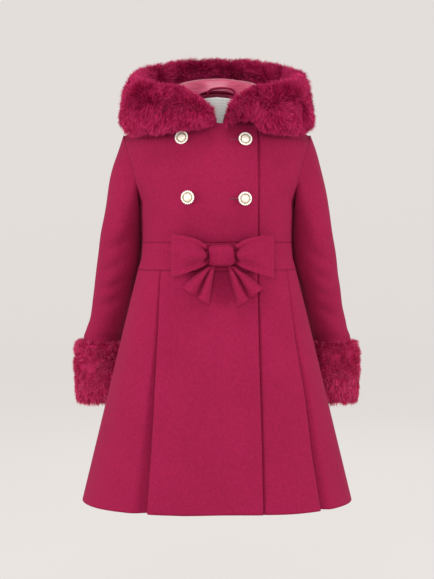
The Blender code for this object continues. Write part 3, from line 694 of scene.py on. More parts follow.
@dataclass(frozen=True)
class Skirt:
    """Two fronts and a back, each with knife pleats that open towards the hem.

    A pleat's rows hold a height, its fold's distance from the middle, the room between two layers,
    the fold's depth and the width that the opened pleat shows.
    """

    rows: int = 84
    right_pleat: Table = (
        (-0.667, 0.1100, 0.0085, 0.024, 0.036),
        (-0.480, 0.1020, 0.0060, 0.027, 0.020),
        (-0.380, 0.0990, 0.0042, 0.028, 0.010),
        (-0.272, 0.0950, 0.0030, 0.028, 0.006),
    )
    left_pleat: Table = (
        (-0.667, 0.1740, 0.0115, 0.024, 0.030),
        (-0.480, 0.1500, 0.0080, 0.027, 0.017),
        (-0.380, 0.1360, 0.0042, 0.028, 0.010),
        (-0.272, 0.1260, 0.0030, 0.028, 0.006),
    )
    back_pleat: Table = (
        (-0.667, 0.1350, 0.0085, 0.024, 0.034),
        (-0.480, 0.1150, 0.0060, 0.026, 0.018),
        (-0.380, 0.1050, 0.0042, 0.028, 0.010),
        (-0.272, 0.0950, 0.0030, 0.028, 0.006),
    )
    front_creases: tuple[Crease, ...] = (
        Crease((-0.062, -0.11, -0.280), (-0.074, -0.13, -0.520), 0.020, 0.0035),
        Crease((-0.022, -0.11, -0.300), (-0.030, -0.15, -0.640), 0.026, -0.0030),
        Crease((0.050, -0.11, -0.285), (0.070, -0.13, -0.470), 0.016, 0.0026),
        Crease((0.078, -0.10, -0.300), (0.118, -0.13, -0.660), 0.022, -0.0034),
        Crease((-0.125, -0.05, -0.300), (-0.185, -0.06, -0.650), 0.024, -0.0040),
        Crease((0.018, -0.11, -0.330), (0.026, -0.14, -0.600), 0.018, 0.0022),
    )
    back_creases: tuple[Crease, ...] = (
        Crease((-0.040, 0.09, -0.280), (-0.060, 0.12, -0.560), 0.022, 0.0036),
        Crease((0.006, 0.09, -0.310), (0.014, 0.13, -0.650), 0.030, -0.0030),
        Crease((0.052, 0.09, -0.290), (0.066, 0.12, -0.500), 0.018, 0.0030),
        Crease((0.130, 0.05, -0.300), (0.190, 0.07, -0.640), 0.026, -0.0036),
    )
    hem_swell: float = 0.0035
    swell_size: float = 0.19

    def relief(self, creases: tuple[Crease, ...], seed: int):
        """The skirt's own movement, which fades at the waist seam and the side seams."""

        def move(points):
            place = points * np.array([1, 0, 1])
            flat = tuple(Crease((c.start[0], 0, c.start[2]), (c.end[0], 0, c.end[2]), c.width, c.depth) for c in creases)
            fall = np.clip((BODY.waist_bottom - points[:, 2]) / (BODY.waist_bottom - BODY.hem), 0, 1)
            swell = waves(place, self.swell_size, seed) * self.hem_swell * (0.2 + 0.8 * fall)
            half_width = table_at(BODY.sections, points[:, 2])[0]
            from_side = smooth_step((half_width - np.abs(points[:, 0])) / 0.030)
            return (creased(place, flat) + swell) * smooth_step(fall / 0.12) * from_side

        return move

    @staticmethod
    def pleat(fold: float, room: float, depth: float, opened: float) -> np.ndarray:
        """A knife pleat from above: out to its fold, back under it, out again, and up to the next panel."""
        turns = np.linspace(0, math.pi, 9)[1:-1]
        radius = room / 2
        first = np.stack([fold + radius * np.sin(turns), -radius * (1 - np.cos(turns))], axis=-1)
        back = np.stack([np.linspace(fold, fold - depth, 6), np.full(6, -room)], axis=-1)
        inner = np.stack([fold - depth - radius * np.sin(turns), -room - radius * (1 - np.cos(turns))], axis=-1)
        under = np.stack([np.linspace(fold - depth, fold, 6), np.full(6, -2 * room)], axis=-1)
        rise = np.linspace(0, 1, 10)[1:]
        climb = np.stack([fold + rise * opened, -2 * room * (1 - smooth_step(rise))], axis=-1)
        return np.concatenate([first, back, inner, under, climb])

    def heights(self) -> np.ndarray:
        """The rows' heights, from the hem up to the waist seam."""
        return np.linspace(BODY.hem, BODY.waist_bottom - BODY.gap, self.rows)

    def front(self, side: Side, pleat: Table) -> Cloth:
        """A front: a flat panel from its edge to the fold, the pleat, and the rest to the side seam."""
        relief = self.relief(self.front_creases, 31)
        rows = []
        for z in self.heights():
            fold, room, depth, opened = table_at(pleat, np.array([z]))[:, 0]
            start = -BODY.front_edge(z, side)
            top = BODY.fine_near_edge(start, BODY.front_edge(z, Side.RIGHT), fold, 90)
            flat = np.stack([top, BODY.overlap_lift(top, side, z)], axis=-1)
            rest = np.linspace(fold + opened, BODY.seam_length(z) - BODY.half_seam, 30)[1:]
            path = np.concatenate([flat, self.pleat(fold, room, depth, opened), np.stack([rest, 0 * rest], axis=-1)])
            rows.append(BODY.settle(z, path[:, 0], path[:, 1], side.value, relief))
        return Cloth(f"skirt_front_{side.word}", np.array(rows), face=side.value)

    def back(self) -> Cloth:
        """The back: a wide panel between two pleats, and a narrow one outside each."""
        relief = self.relief(self.back_creases, 47)
        rows = []
        for z in self.heights():
            fold, room, depth, opened = table_at(self.back_pleat, np.array([z]))[:, 0]
            half = BODY.half_girth(z)
            top = np.linspace(0, fold, 38)
            rest = np.linspace(fold + opened, half - BODY.seam_length(z) - BODY.half_seam, 24)[1:]
            path = np.concatenate([
                np.stack([top, 0 * top], axis=-1),
                self.pleat(fold, room, depth, opened),
                np.stack([rest, 0 * rest], axis=-1),
            ])
            right = BODY.settle(z, half - path[::-1, 0], path[::-1, 1], -1, relief)
            left = BODY.settle(z, half - path[1:, 0], path[1:, 1], 1, relief)
            rows.append(np.concatenate([right, left]))
        return Cloth("skirt_back", np.array(rows), face=-1)

    def build(self, finishes: dict) -> None:
        """Builds the three panels."""
        self.front(Side.RIGHT, self.right_pleat).build(finishes[Slot.WOOL])
        self.front(Side.LEFT, self.left_pleat).build(finishes[Slot.WOOL])
        self.back().build(finishes[Slot.WOOL])


@dataclass(frozen=True)
class Waistband:
    """A band 46 mm high in three pieces, a little full between its two seams."""

    rows: int = 14
    fullness: float = 0.0012
    creases: tuple[Crease, ...] = (
        Crease((-0.100, 0, -0.236), (-0.060, 0, -0.262), 0.007, 0.0008),
        Crease((0.060, 0, -0.262), (0.105, 0, -0.240), 0.007, 0.0009),
        Crease((-0.030, 0, -0.262), (0.030, 0, -0.266), 0.006, 0.0006),
    )

    def relief(self, points: np.ndarray) -> np.ndarray:
        """Fullness that is greatest half way up, and faint slanting creases."""
        share = (points[:, 2] - BODY.waist_bottom) / (BODY.waist_top - BODY.waist_bottom)
        rise = np.sin(math.pi * np.clip(share, 0, 1)) ** 0.8
        half_width = table_at(BODY.sections, points[:, 2])[0]
        from_side = smooth_step((half_width - np.abs(points[:, 0])) / 0.010)
        return (self.fullness * rise + creased(points * np.array([1, 0, 1]), self.creases) * rise) * from_side

    def build(self, finishes: dict) -> None:
        """Builds the two fronts and the back."""
        heights = np.linspace(BODY.waist_bottom + BODY.gap, BODY.waist_top - BODY.gap, self.rows)
        for side in Side:
            rows = []
            for z in heights:
                end = BODY.seam_length(z) - BODY.half_seam
                along = np.linspace(-BODY.front_edge(z, side), end, 90)
                rows.append(BODY.settle(z, along, BODY.overlap_lift(along, side), side.value, self.relief))
            Cloth(f"waistband_front_{side.word}", np.array(rows), face=side.value).build(finishes[Slot.WOOL])
        rows = []
        for z in heights:
            half = BODY.half_girth(z)
            along = half - np.linspace(0, half - BODY.seam_length(z) - BODY.half_seam, 60)
            right = BODY.settle(z, along[::-1], np.zeros(60), -1, self.relief)
            left = BODY.settle(z, along[1:], np.zeros(59), 1, self.relief)
            rows.append(np.concatenate([right, left]))
        Cloth("waistband_back", np.array(rows), face=-1).build(finishes[Slot.WOOL])


@dataclass(frozen=True)
class Bodice:
    """Right front over left front, and a back, from the waist seam to the neck and shoulders.

    Rows of a front or back: middle z, middle y, end x, end y, end z, and the row's turn in degrees.
    """

    rows: int = 66
    shoulder_seam: float = 0.0013
    under_neck_share: float = 0.27
    flap_top: tuple[float, float, float] = (0, 0.0105, 0.0205)
    fronts: Table = (
        (-0.226, -0.1010, 0.1275, 0.000, -0.226, 90),
        (-0.198, -0.1075, 0.1285, 0.000, -0.198, 90),
        (-0.169, -0.1120, 0.1300, 0.000, -0.169, 90),
        (-0.142, -0.1125, 0.1310, -0.038, -0.147, 70),
        (-0.112, -0.1105, 0.1365, -0.054, -0.118, 62),
        (-0.078, -0.1040, 0.1465, -0.044, -0.082, 62),
        (-0.052, -0.0960, 0.1540, -0.024, -0.058, 66),
    )
    backs: Table = (
        (-0.226, 0.0910, 0.1275, 0.000, -0.226, 90),
        (-0.198, 0.0970, 0.1285, 0.000, -0.198, 90),
        (-0.169, 0.1010, 0.1300, 0.000, -0.169, 90),
        (-0.138, 0.1030, 0.1310, 0.042, -0.146, 70),
        (-0.096, 0.0980, 0.1370, 0.057, -0.112, 62),
        (-0.048, 0.0880, 0.1475, 0.048, -0.078, 62),
        (-0.006, 0.0735, 0.1545, 0.030, -0.056, 66),
    )
    neck: Table = (
        (0.00, 0.000, -0.0850, -0.0300, 0.0600, 0.0320),
        (0.16, 0.026, -0.0760, -0.0270, 0.0520, 0.0280),
        (0.30, 0.049, -0.0450, -0.0160, 0.0310, 0.0150),
        (0.40, 0.062, 0.0000, 0.0000, 0.0000, 0.0000),
        (0.70, 0.110, 0.0040, -0.0210, 0.0040, -0.0210),
        (1.00, 0.158, 0.0060, -0.0460, 0.0060, -0.0460),
    )
    front_creases: tuple[Crease, ...] = (
        Crease((-0.122, 0, -0.150), (-0.080, 0, -0.205), 0.010, 0.0022),
        Crease((-0.118, 0, -0.120), (-0.088, 0, -0.130), 0.009, 0.0018),
        Crease((0.120, 0, -0.140), (0.086, 0, -0.190), 0.010, 0.0020),
        Crease((0.116, 0, -0.112), (0.086, 0, -0.126), 0.008, 0.0016),
        Crease((-0.036, 0, -0.165), (0.008, 0, -0.215), 0.012, 0.0013),
        Crease((-0.080, 0, -0.080), (-0.066, 0, -0.140), 0.013, -0.0014),
        Crease((0.076, 0, -0.085), (0.066, 0, -0.150), 0.012, -0.0012),
        Crease((0.010, 0, -0.070), (0.014, 0, -0.120), 0.014, 0.0012),
    )
    back_creases: tuple[Crease, ...] = (
        Crease((-0.110, 0, -0.140), (-0.060, 0, -0.175), 0.011, 0.0022),
        Crease((0.114, 0, -0.130), (0.070, 0, -0.180), 0.010, 0.0020),
        Crease((-0.030, 0, -0.170), (0.030, 0, -0.205), 0.013, 0.0014),
        Crease((0.020, 0, -0.060), (0.010, 0, -0.130), 0.016, -0.0014),
    )

    def surface(self, table: Table, shares: np.ndarray, sign: int) -> np.ndarray:
        """Rows of a front or back; a share runs from 0 at the middle to 1 at the side or armhole.

        Each row is a superellipse arc: x goes with the sine of the angle to a power, and y from the
        middle to the end with one less its cosine to that power.
        """
        power = BODY.front_round if sign < 0 else BODY.back_round
        rows = []
        for middle_z, middle_y, end_x, end_y, end_z, turn in table:
            last = math.radians(turn)
            angle = shares * last
            across = np.sign(angle) * (np.abs(np.sin(angle)) / math.sin(last)) ** power
            around = (1 - np.cos(angle) ** power) / (1 - math.cos(last) ** power)
            z = middle_z + (end_z - middle_z) * np.abs(shares) ** 2
            rows.append(np.stack([end_x * across, middle_y + (end_y - middle_y) * around, z], axis=-1))
        x, front_y, front_z, back_y, back_z = table_at(self.neck, np.abs(shares))
        y, z = (front_y, front_z) if sign < 0 else (back_y, back_z)
        rows.append(np.stack([np.sign(shares) * x, y + sign * self.shoulder_seam, z], axis=-1))
        return np.array(rows)

    @staticmethod
    def share_of_x(row: tuple[float, ...], x: float) -> float:
        """The share of a front's row at which it is x from the middle."""
        last = math.radians(row[5])
        return math.asin((x / row[2]) ** (1 / BODY.front_round) * math.sin(last)) / last

    def dense(self, rows: np.ndarray, creases: tuple[Crease, ...], face: int) -> np.ndarray:
        """The rows made finer, with the creases added along the normal and faded at every seam."""
        knots = np.arange(len(rows))
        grid = spline(knots, rows, np.linspace(0, knots[-1], self.rows))
        grid[0, :, 2] += BODY.gap
        move = creased(grid * np.array([1, 0, 1]), creases)
        move = move + waves(grid * np.array([1, 0, 1]), 0.075, 5) * 0.0007
        up = np.linspace(0, 1, self.rows)[:, None]
        fade = smooth_step(up / 0.12) * smooth_step((1 - up) / 0.18)
        side = np.abs(grid[:, :, 0]) / np.abs(grid[:, :, 0]).max(axis=1, keepdims=True)
        fade = fade * smooth_step((1 - side) / 0.10)
        return grid + grid_normals(grid) * (move * fade * face)[..., None]

    def front(self, side: Side) -> Cloth:
        """A front whose edge runs straight down; the right one ends in a small flap over the left."""
        edge = BODY.front_edge(BODY.waist_top, side)
        starts = [self.share_of_x(row, edge) for row in self.fronts]
        starts.append(starts[-1] if side is Side.RIGHT else self.under_neck_share)
        last = len(starts) - 1
        lift_up = {last: 0.9, last - 1: 0.3}
        rows = []
        for i, start in enumerate(starts):
            pressed = self.share_of_x(self.fronts[min(i, len(self.fronts) - 1)], BODY.overlap_top)
            shares = np.concatenate([np.linspace(-start, 0, 31), BODY.fine_near_edge(0, pressed, 1, 76)[1:]])
            all_rows = self.surface(self.fronts, shares, -1)
            row = all_rows[i]
            if side is Side.RIGHT and i == last:
                past = shares < 0
                row[past] = all_rows[i - 1][past] + np.array(self.flap_top)
            lift = BODY.overlap_lift(np.sign(shares) * np.abs(row[:, 0]), side, BODY.waist_top)
            row[:, 1] -= lift
            row[:, 2] += lift * lift_up.get(i, 0)
            row[-1, 1] -= BODY.half_seam if i < 3 else 0
            rows.append(row)
        grid = mirrored(np.array(rows), side.value)
        return Cloth(
            f"bodice_front_{side.word}", self.dense(grid, self.front_creases, side.value), face=side.value
        )

    def back(self) -> Cloth:
        """The back, in one piece from armhole to armhole."""
        rows = self.surface(self.backs, np.linspace(-1, 1, 119), 1)
        rows[:3, [0, -1], 1] += BODY.half_seam
        return Cloth("bodice_back", self.dense(rows, self.back_creases, -1), face=-1)

    def outside_front(self, x: float, z: float, wall: float = 0.002) -> tuple[np.ndarray, np.ndarray]:
        """The right front's outer face at x and z, and the direction out of it."""
        knots = np.arange(len(self.fronts))
        columns = np.array(self.fronts)

        def depth(at_x, at_z):
            level = np.interp(at_z, columns[:, 0], knots)
            _, middle, end_x, end_y, _, turn = spline(knots, columns, level)
            last = math.radians(turn)
            angle = math.asin((abs(at_x) / end_x) ** (1 / BODY.front_round) * math.sin(last))
            around = (1 - math.cos(angle) ** BODY.front_round) / (1 - math.cos(last) ** BODY.front_round)
            lift = BODY.overlap_lift(np.array([-at_x]), Side.RIGHT)[0]
            return float(middle + (end_y - middle) * around - lift)

        step = 0.004
        normal = np.array([
            (depth(x + step, z) - depth(x - step, z)) / (2 * step),
            -1,
            (depth(x, z + step) - depth(x, z - step)) / (2 * step),
        ])
        normal /= np.linalg.norm(normal)
        return np.array([x, depth(x, z), z]) + normal * wall / 2, normal

    def build(self, finishes: dict) -> None:
        """Builds the two fronts and the back."""
        for side in Side:
            self.front(side).build(finishes[Slot.WOOL])
        self.back().build(finishes[Slot.WOOL])


BODICE = Bodice()


@dataclass(frozen=True)
class Sleeve:
    """A tube from the armhole down to the wrist, which bends at the elbow.

    The armhole's rows hold x, y, z, from the shoulder round the front. The sections' rows hold a
    height, outer x, inner x, middle y and half the depth.
    """

    columns: int = 72
    rows: int = 120
    head_rings: int = 5
    fullness: float = 0.005
    closer: float = 0.0010
    closer_below: float = -0.160
    heights: tuple[float, ...] = (-0.205, -0.235, -0.265, -0.295, -0.325, -0.355, -0.382, -0.405, -0.512)
    armhole: Table = (
        (0.1603, 0.006, -0.0440),
        (0.1563, -0.021, -0.0560),
        (0.1484, -0.042, -0.0800),
        (0.1382, -0.052, -0.1160),
        (0.1337, -0.039, -0.1480),
        (0.1327, 0.003, -0.1700),
        (0.1337, 0.044, -0.1470),
        (0.1388, 0.055, -0.1100),
        (0.1490, 0.047, -0.0760),
        (0.1571, 0.028, -0.0540),
    )
    sections: Table = (
        (-0.512, 0.2380, 0.1700, 0.1070, 0.040),
        (-0.405, 0.2380, 0.1700, 0.1070, 0.040),
        (-0.395, 0.2355, 0.1670, 0.1030, 0.041),
        (-0.350, 0.2235, 0.1540, 0.0800, 0.045),
        (-0.300, 0.2125, 0.1425, 0.0480, 0.049),
        (-0.250, 0.2045, 0.1308, 0.0200, 0.052),
        (-0.205, 0.1975, 0.1303, 0.0070, 0.055),
    )
    creases: tuple[Crease, ...] = (
        Crease((0.150, -0.045, -0.232), (0.196, -0.015, -0.252), 0.009, 0.0034),
        Crease((0.158, -0.030, -0.268), (0.204, 0.000, -0.292), 0.010, 0.0042),
        Crease((0.160, -0.005, -0.306), (0.210, 0.020, -0.318), 0.009, 0.0034),
        Crease((0.168, 0.015, -0.334), (0.214, 0.045, -0.352), 0.011, 0.0040),
        Crease((0.190, -0.040, -0.160), (0.178, -0.048, -0.215), 0.012, 0.0026),
        Crease((0.176, -0.030, -0.085), (0.186, -0.040, -0.140), 0.013, -0.0026),
        Crease((0.200, 0.040, -0.190), (0.196, 0.062, -0.250), 0.013, 0.0028),
        Crease((0.200, 0.080, -0.270), (0.205, 0.105, -0.330), 0.012, 0.0030),
        Crease((0.215, 0.060, -0.350), (0.226, 0.100, -0.385), 0.010, 0.0028),
        Crease((0.148, 0.060, -0.180), (0.150, 0.070, -0.240), 0.010, 0.0022),
    )

    def ring(self, z: float) -> np.ndarray:
        """The sleeve's ellipse at a height."""
        outer, inner, middle_y, half_depth = table_at(self.sections, np.array([z]))[:, 0]
        turn = np.linspace(0, 2 * math.pi, self.columns, endpoint=False)
        x = (outer + inner) / 2 + (outer - inner) / 2 * np.cos(turn)
        return np.stack([x, middle_y - half_depth * np.sin(turn), np.full(self.columns, z)], axis=-1)

    def build(self, side: Side, finishes: dict) -> None:
        """Builds one sleeve, its creases a little different on each side."""
        loop = np.array(self.armhole + self.armhole[:1], float)
        places = np.linspace(0, len(self.armhole), self.columns, endpoint=False)
        armhole = spline(np.arange(len(loop)), loop, places)
        armhole[:, 0] -= self.closer * smooth_step((armhole[:, 2] - self.closer_below) / 0.050)
        first = self.ring(self.heights[0])
        turn = np.linspace(0, 2 * math.pi, self.columns, endpoint=False)
        outside = np.clip(np.cos(turn), 0, 1)[:, None] * np.array([1, 0, 0.4])
        rings = []
        for share in np.linspace(0, 1, self.head_rings, endpoint=False):
            head = self.fullness * math.sin(math.pi * share) * outside
            rings.append((1 - share) * armhole + share * first + head)
        rings = np.array(rings + [self.ring(z) for z in self.heights])
        knots = np.arange(len(rings))
        grid = spline(knots, rings, np.linspace(0, knots[-1], self.rows))
        shift = np.array([0, 0, 0.009 * side.value])
        move = creased(grid + shift, self.creases)
        move = move + waves(grid + shift * 4, 0.085, 11 + side.value) * 0.0014
        down = np.linspace(0, 1, self.rows)[:, None]
        above_cuff = smooth_step((grid[..., 2] + 0.402) / 0.030)
        grid = grid + grid_normals(grid, True) * (move * smooth_step(down / 0.10) * above_cuff)[..., None]
        Cloth(
            f"sleeve_{side.word}", mirrored(grid, side.value), closed=True, face=side.value
        ).build(finishes[Slot.WOOL])


# Fur


@dataclass(frozen=True)
class Pile:
    """How fur grows: how many hairs, how wide, and how they gather in locks."""

    hairs: int = 26000
    width: float = 0.0009
    lock_hairs: int = 20
    lock_spread: float = 0.0055
    gather: float = 0.55
    lean: float = 0.0085
    swirl: float = 0.8
    swirl_size: float = 0.055
    uneven: float = 0.0010
    free_share: float = 0.2

    def place(self, grid: np.ndarray, row: np.ndarray, column: np.ndarray, ring: bool) -> np.ndarray:
        """Points of a grid at fractional rows and columns, between its four neighbours."""
        rows, columns = grid.shape[:2]
        row = row % rows if ring else np.clip(row, 0, rows - 1.001)
        i, j = np.floor(row).astype(int), np.floor(column).astype(int)
        a, b = (row - i)[:, None], (column - j)[:, None]
        k = (i + 1) % rows if ring else np.minimum(i + 1, rows - 1)
        i, j, m = i % rows, j % columns, (j + 1) % columns
        low = grid[i, j] * (1 - b) + grid[i, m] * b
        return low * (1 - a) + (grid[k, j] * (1 - b) + grid[k, m] * b) * a

    def grow(self, outer: np.ndarray, skin: np.ndarray, comb: tuple, ring: bool, seed: int, material) -> list[Part]:
        """A skin and hairs from it to the outer surface.

        Each hair is a flat ribbon that narrows to its tip along a curve from the skin, up through the
        pile and over in the comb's direction. Hairs of one lock have tips close together.

        Args:
            outer: the surface that the tips reach, closed round its columns.
            skin: the surface that the roots stand on, with the same rows and columns.
            comb: the direction in which the pile lies.
            ring: whether the rows close too.
            seed: picks the hairs.
            material: the fur's finish.

        Returns:
            The skin and the hairs.
        """
        draw = np.random.default_rng(seed)
        rows, columns = outer.shape[:2]
        wrapped = np.concatenate([outer, outer[:, :1]], axis=1)
        if ring:
            wrapped = np.concatenate([wrapped, wrapped[:1]], axis=0)
        down = np.diff(wrapped, axis=0)[:, :-1]
        across = np.diff(wrapped, axis=1)[:-1]
        areas = np.linalg.norm(np.cross(down, across), axis=-1)
        row_size = np.linalg.norm(down, axis=-1).ravel()
        column_size = np.linalg.norm(across, axis=-1).ravel()
        chance = areas.ravel() / areas.sum()
        locks = self.hairs // self.lock_hairs
        cell = draw.choice(len(chance), locks, p=chance)
        lock = np.repeat(np.arange(locks), self.lock_hairs)
        free = draw.random(len(lock)) < self.free_share
        lock_row = (cell // columns + draw.random(locks))[lock]
        lock_column = (cell % columns + draw.random(locks))[lock]
        spread = draw.normal(size=(len(lock), 2)) * self.lock_spread
        row_off = spread[:, 0] / np.maximum(row_size[cell][lock], 1e-4)
        column_off = spread[:, 1] / np.maximum(column_size[cell][lock], 1e-4)
        root = self.place(skin, lock_row + row_off, lock_column + column_off, ring)
        gather = np.where(free, 1.0, self.gather)
        tip = self.place(outer, lock_row + row_off * gather, lock_column + column_off * gather, ring)
        height = tip - root
        length = np.linalg.norm(height, axis=1, keepdims=True)
        out = height / np.maximum(length, 1e-6)
        swirl = np.stack([waves(root, self.swirl_size, seed + turn) for turn in range(3)], axis=-1)
        lock_way = draw.normal(size=(locks, 3))[lock] * 0.25 + swirl * self.swirl + np.array(comb)
        lock_way -= out * np.sum(lock_way * out, axis=1, keepdims=True)
        way = lock_way + draw.normal(size=(len(lock), 3)) * 0.16
        reach = draw.uniform(0.78, 1.0, (len(lock), 1)) * draw.uniform(0.88, 1.0, (locks, 1))[lock]
        bend = root + out * length * 0.70 * reach
        end = root + out * length * 0.97 * reach + way * self.lean
        end += draw.normal(size=end.shape) * self.uneven
        return [self.skin_part(skin, ring, material, draw), self.hair_part(root, bend, end, lock, draw, material)]

    def skin_part(self, skin: np.ndarray, ring: bool, material, draw) -> Part:
        """The closed skin below the pile, with its end caps."""
        rows, columns = skin.shape[:2]
        faces = grid_faces(rows, columns, ring, True)
        points = skin.reshape(-1, 3)
        if not ring:
            ends = np.array([skin[0].mean(axis=0), skin[-1].mean(axis=0)])
            first, last = np.arange(columns), (rows - 1) * columns + np.arange(columns)
            centre = len(points)
            caps = [
                np.stack([first, np.full(columns, centre), np.full(columns, centre), np.roll(first, -1)], axis=1),
                np.stack([last, np.roll(last, -1), np.full(columns, centre + 1), np.full(columns, centre + 1)], axis=1),
            ]
            points = np.concatenate([points, ends])
            triangles = np.concatenate([caps[0][:, [0, 1, 3]], caps[1][:, [0, 1, 2]]])
        halves = [faces[:, [0, 1, 2]], faces[:, [0, 2, 3]]]
        if not ring:
            halves.append(triangles)
        tone = draw.random(len(points)) * 0.2
        # The skin takes along 0, the root colour of the fur's finish: painted shade under the pile.
        return Part(points, np.concatenate(halves), material, {"along": np.zeros(len(points)), "tone": tone})

    def hair_part(self, root, bend, end, lock, draw, material) -> Part:
        """Ribbons along the curves from root by bend to end: two quads and a tip, as triangles."""
        count = len(root)
        stations = np.array([0, 0.4, 0.75, 1.0])[:, None, None]
        path = (1 - stations) ** 2 * root + 2 * stations * (1 - stations) * bend + stations**2 * end
        chord = end - root
        side = np.cross(chord, draw.normal(size=chord.shape))
        side /= np.maximum(np.linalg.norm(side, axis=1, keepdims=True), 1e-9)
        half = self.width / 2 * np.array([1.0, 0.9, 0.55])[:, None, None] * draw.uniform(0.7, 1.3, (count, 1))
        left, right = path[:3] - side * half, path[:3] + side * half
        points = np.stack([left[0], right[0], left[1], right[1], left[2], right[2], path[3]], axis=1)
        pattern = np.array([[0, 1, 3], [0, 3, 2], [2, 3, 5], [2, 5, 4], [4, 5, 6]])
        faces = (np.arange(count)[:, None, None] * 7 + pattern).reshape(-1, 3)
        # Height along each hair, which the fur's finish turns into painted shade at the root and a painted highlight at
        # the tip.
        along = np.tile([0.15, 0.15, 0.5, 0.5, 0.8, 0.8, 1.0], count)
        tone = draw.random(lock.max() + 1)[lock] * 0.8 + draw.random(count) * 0.2
        return Part(points.reshape(-1, 3), faces, material, {"along": along, "tone": np.repeat(tone, 7)})


@dataclass(frozen=True)
class FurCuff:
    """A deep band of fur round the wrist, over the end of the sleeve."""

    top: float = -0.399
    bottom: float = -0.519
    middle: tuple[float, float] = (0.2060, 0.1060)
    half: tuple[float, float] = (0.0520, 0.0560)
    bore_room: float = 0.0016
    columns: int = 72
    skin_share: float = 0.60
    section: Table = ((0.0, 0.008), (0.4, 0.0), (0.8, 0.004), (1.0, 0.018))
    pile: Pile = Pile(hairs=24000, lean=0.0050, width=0.0008, lock_spread=0.0045, swirl=0.45)

    def surface(self, sleeve: Sleeve, share_scale: float, shrink: float) -> np.ndarray:
        """The band's section, run round the wrist: up the bore, over the top, down the pile.

        Args:
            sleeve: the sleeve inside it.
            share_scale: how much of the way from the bore to the pile's reach it goes.
            shrink: how far its two ends lie inside the fur's.

        Returns:
            The rings.
        """
        upper = [(share, self.top - down - shrink) for share, down in self.section]
        lower = [(share, self.bottom + up + shrink) for share, up in self.section]
        between = np.linspace(upper[-1][1], lower[-1][1], 9)[1:-1]
        section = upper + [(1.0, z) for z in between] + lower[::-1]
        turn = np.linspace(0, 2 * math.pi, self.columns, endpoint=False)
        pile = np.array(self.middle + self.half)
        rings = []
        for share, z in section:
            outer, inner, middle_y, half_depth = table_at(sleeve.sections, np.array([z]))[:, 0]
            half_width = (outer - inner) / 2 + self.bore_room
            bore = np.array([(outer + inner) / 2, middle_y, half_width, half_depth + self.bore_room])
            middle_x, middle_y, half_width, half_depth = bore + share * share_scale * (pile - bore)
            x = middle_x + half_width * np.cos(turn)
            rings.append(np.stack([x, middle_y - half_depth * np.sin(turn), np.full(self.columns, z)], axis=-1))
        return np.array(rings)

    def build(self, side: Side, sleeve: Sleeve, finishes: dict) -> None:
        """Grows one cuff."""
        outer = mirrored(self.surface(sleeve, 1.0, 0.0), side.value)
        skin = mirrored(self.surface(sleeve, self.skin_share, 0.008), side.value)
        name = f"cuff_{side.word}"
        parts = self.pile.grow(outer, skin, (0, 0, -0.7), True, 60 + side.value, finishes["cuff_fur"])
        make_object(f"{name}_fur", name, parts)


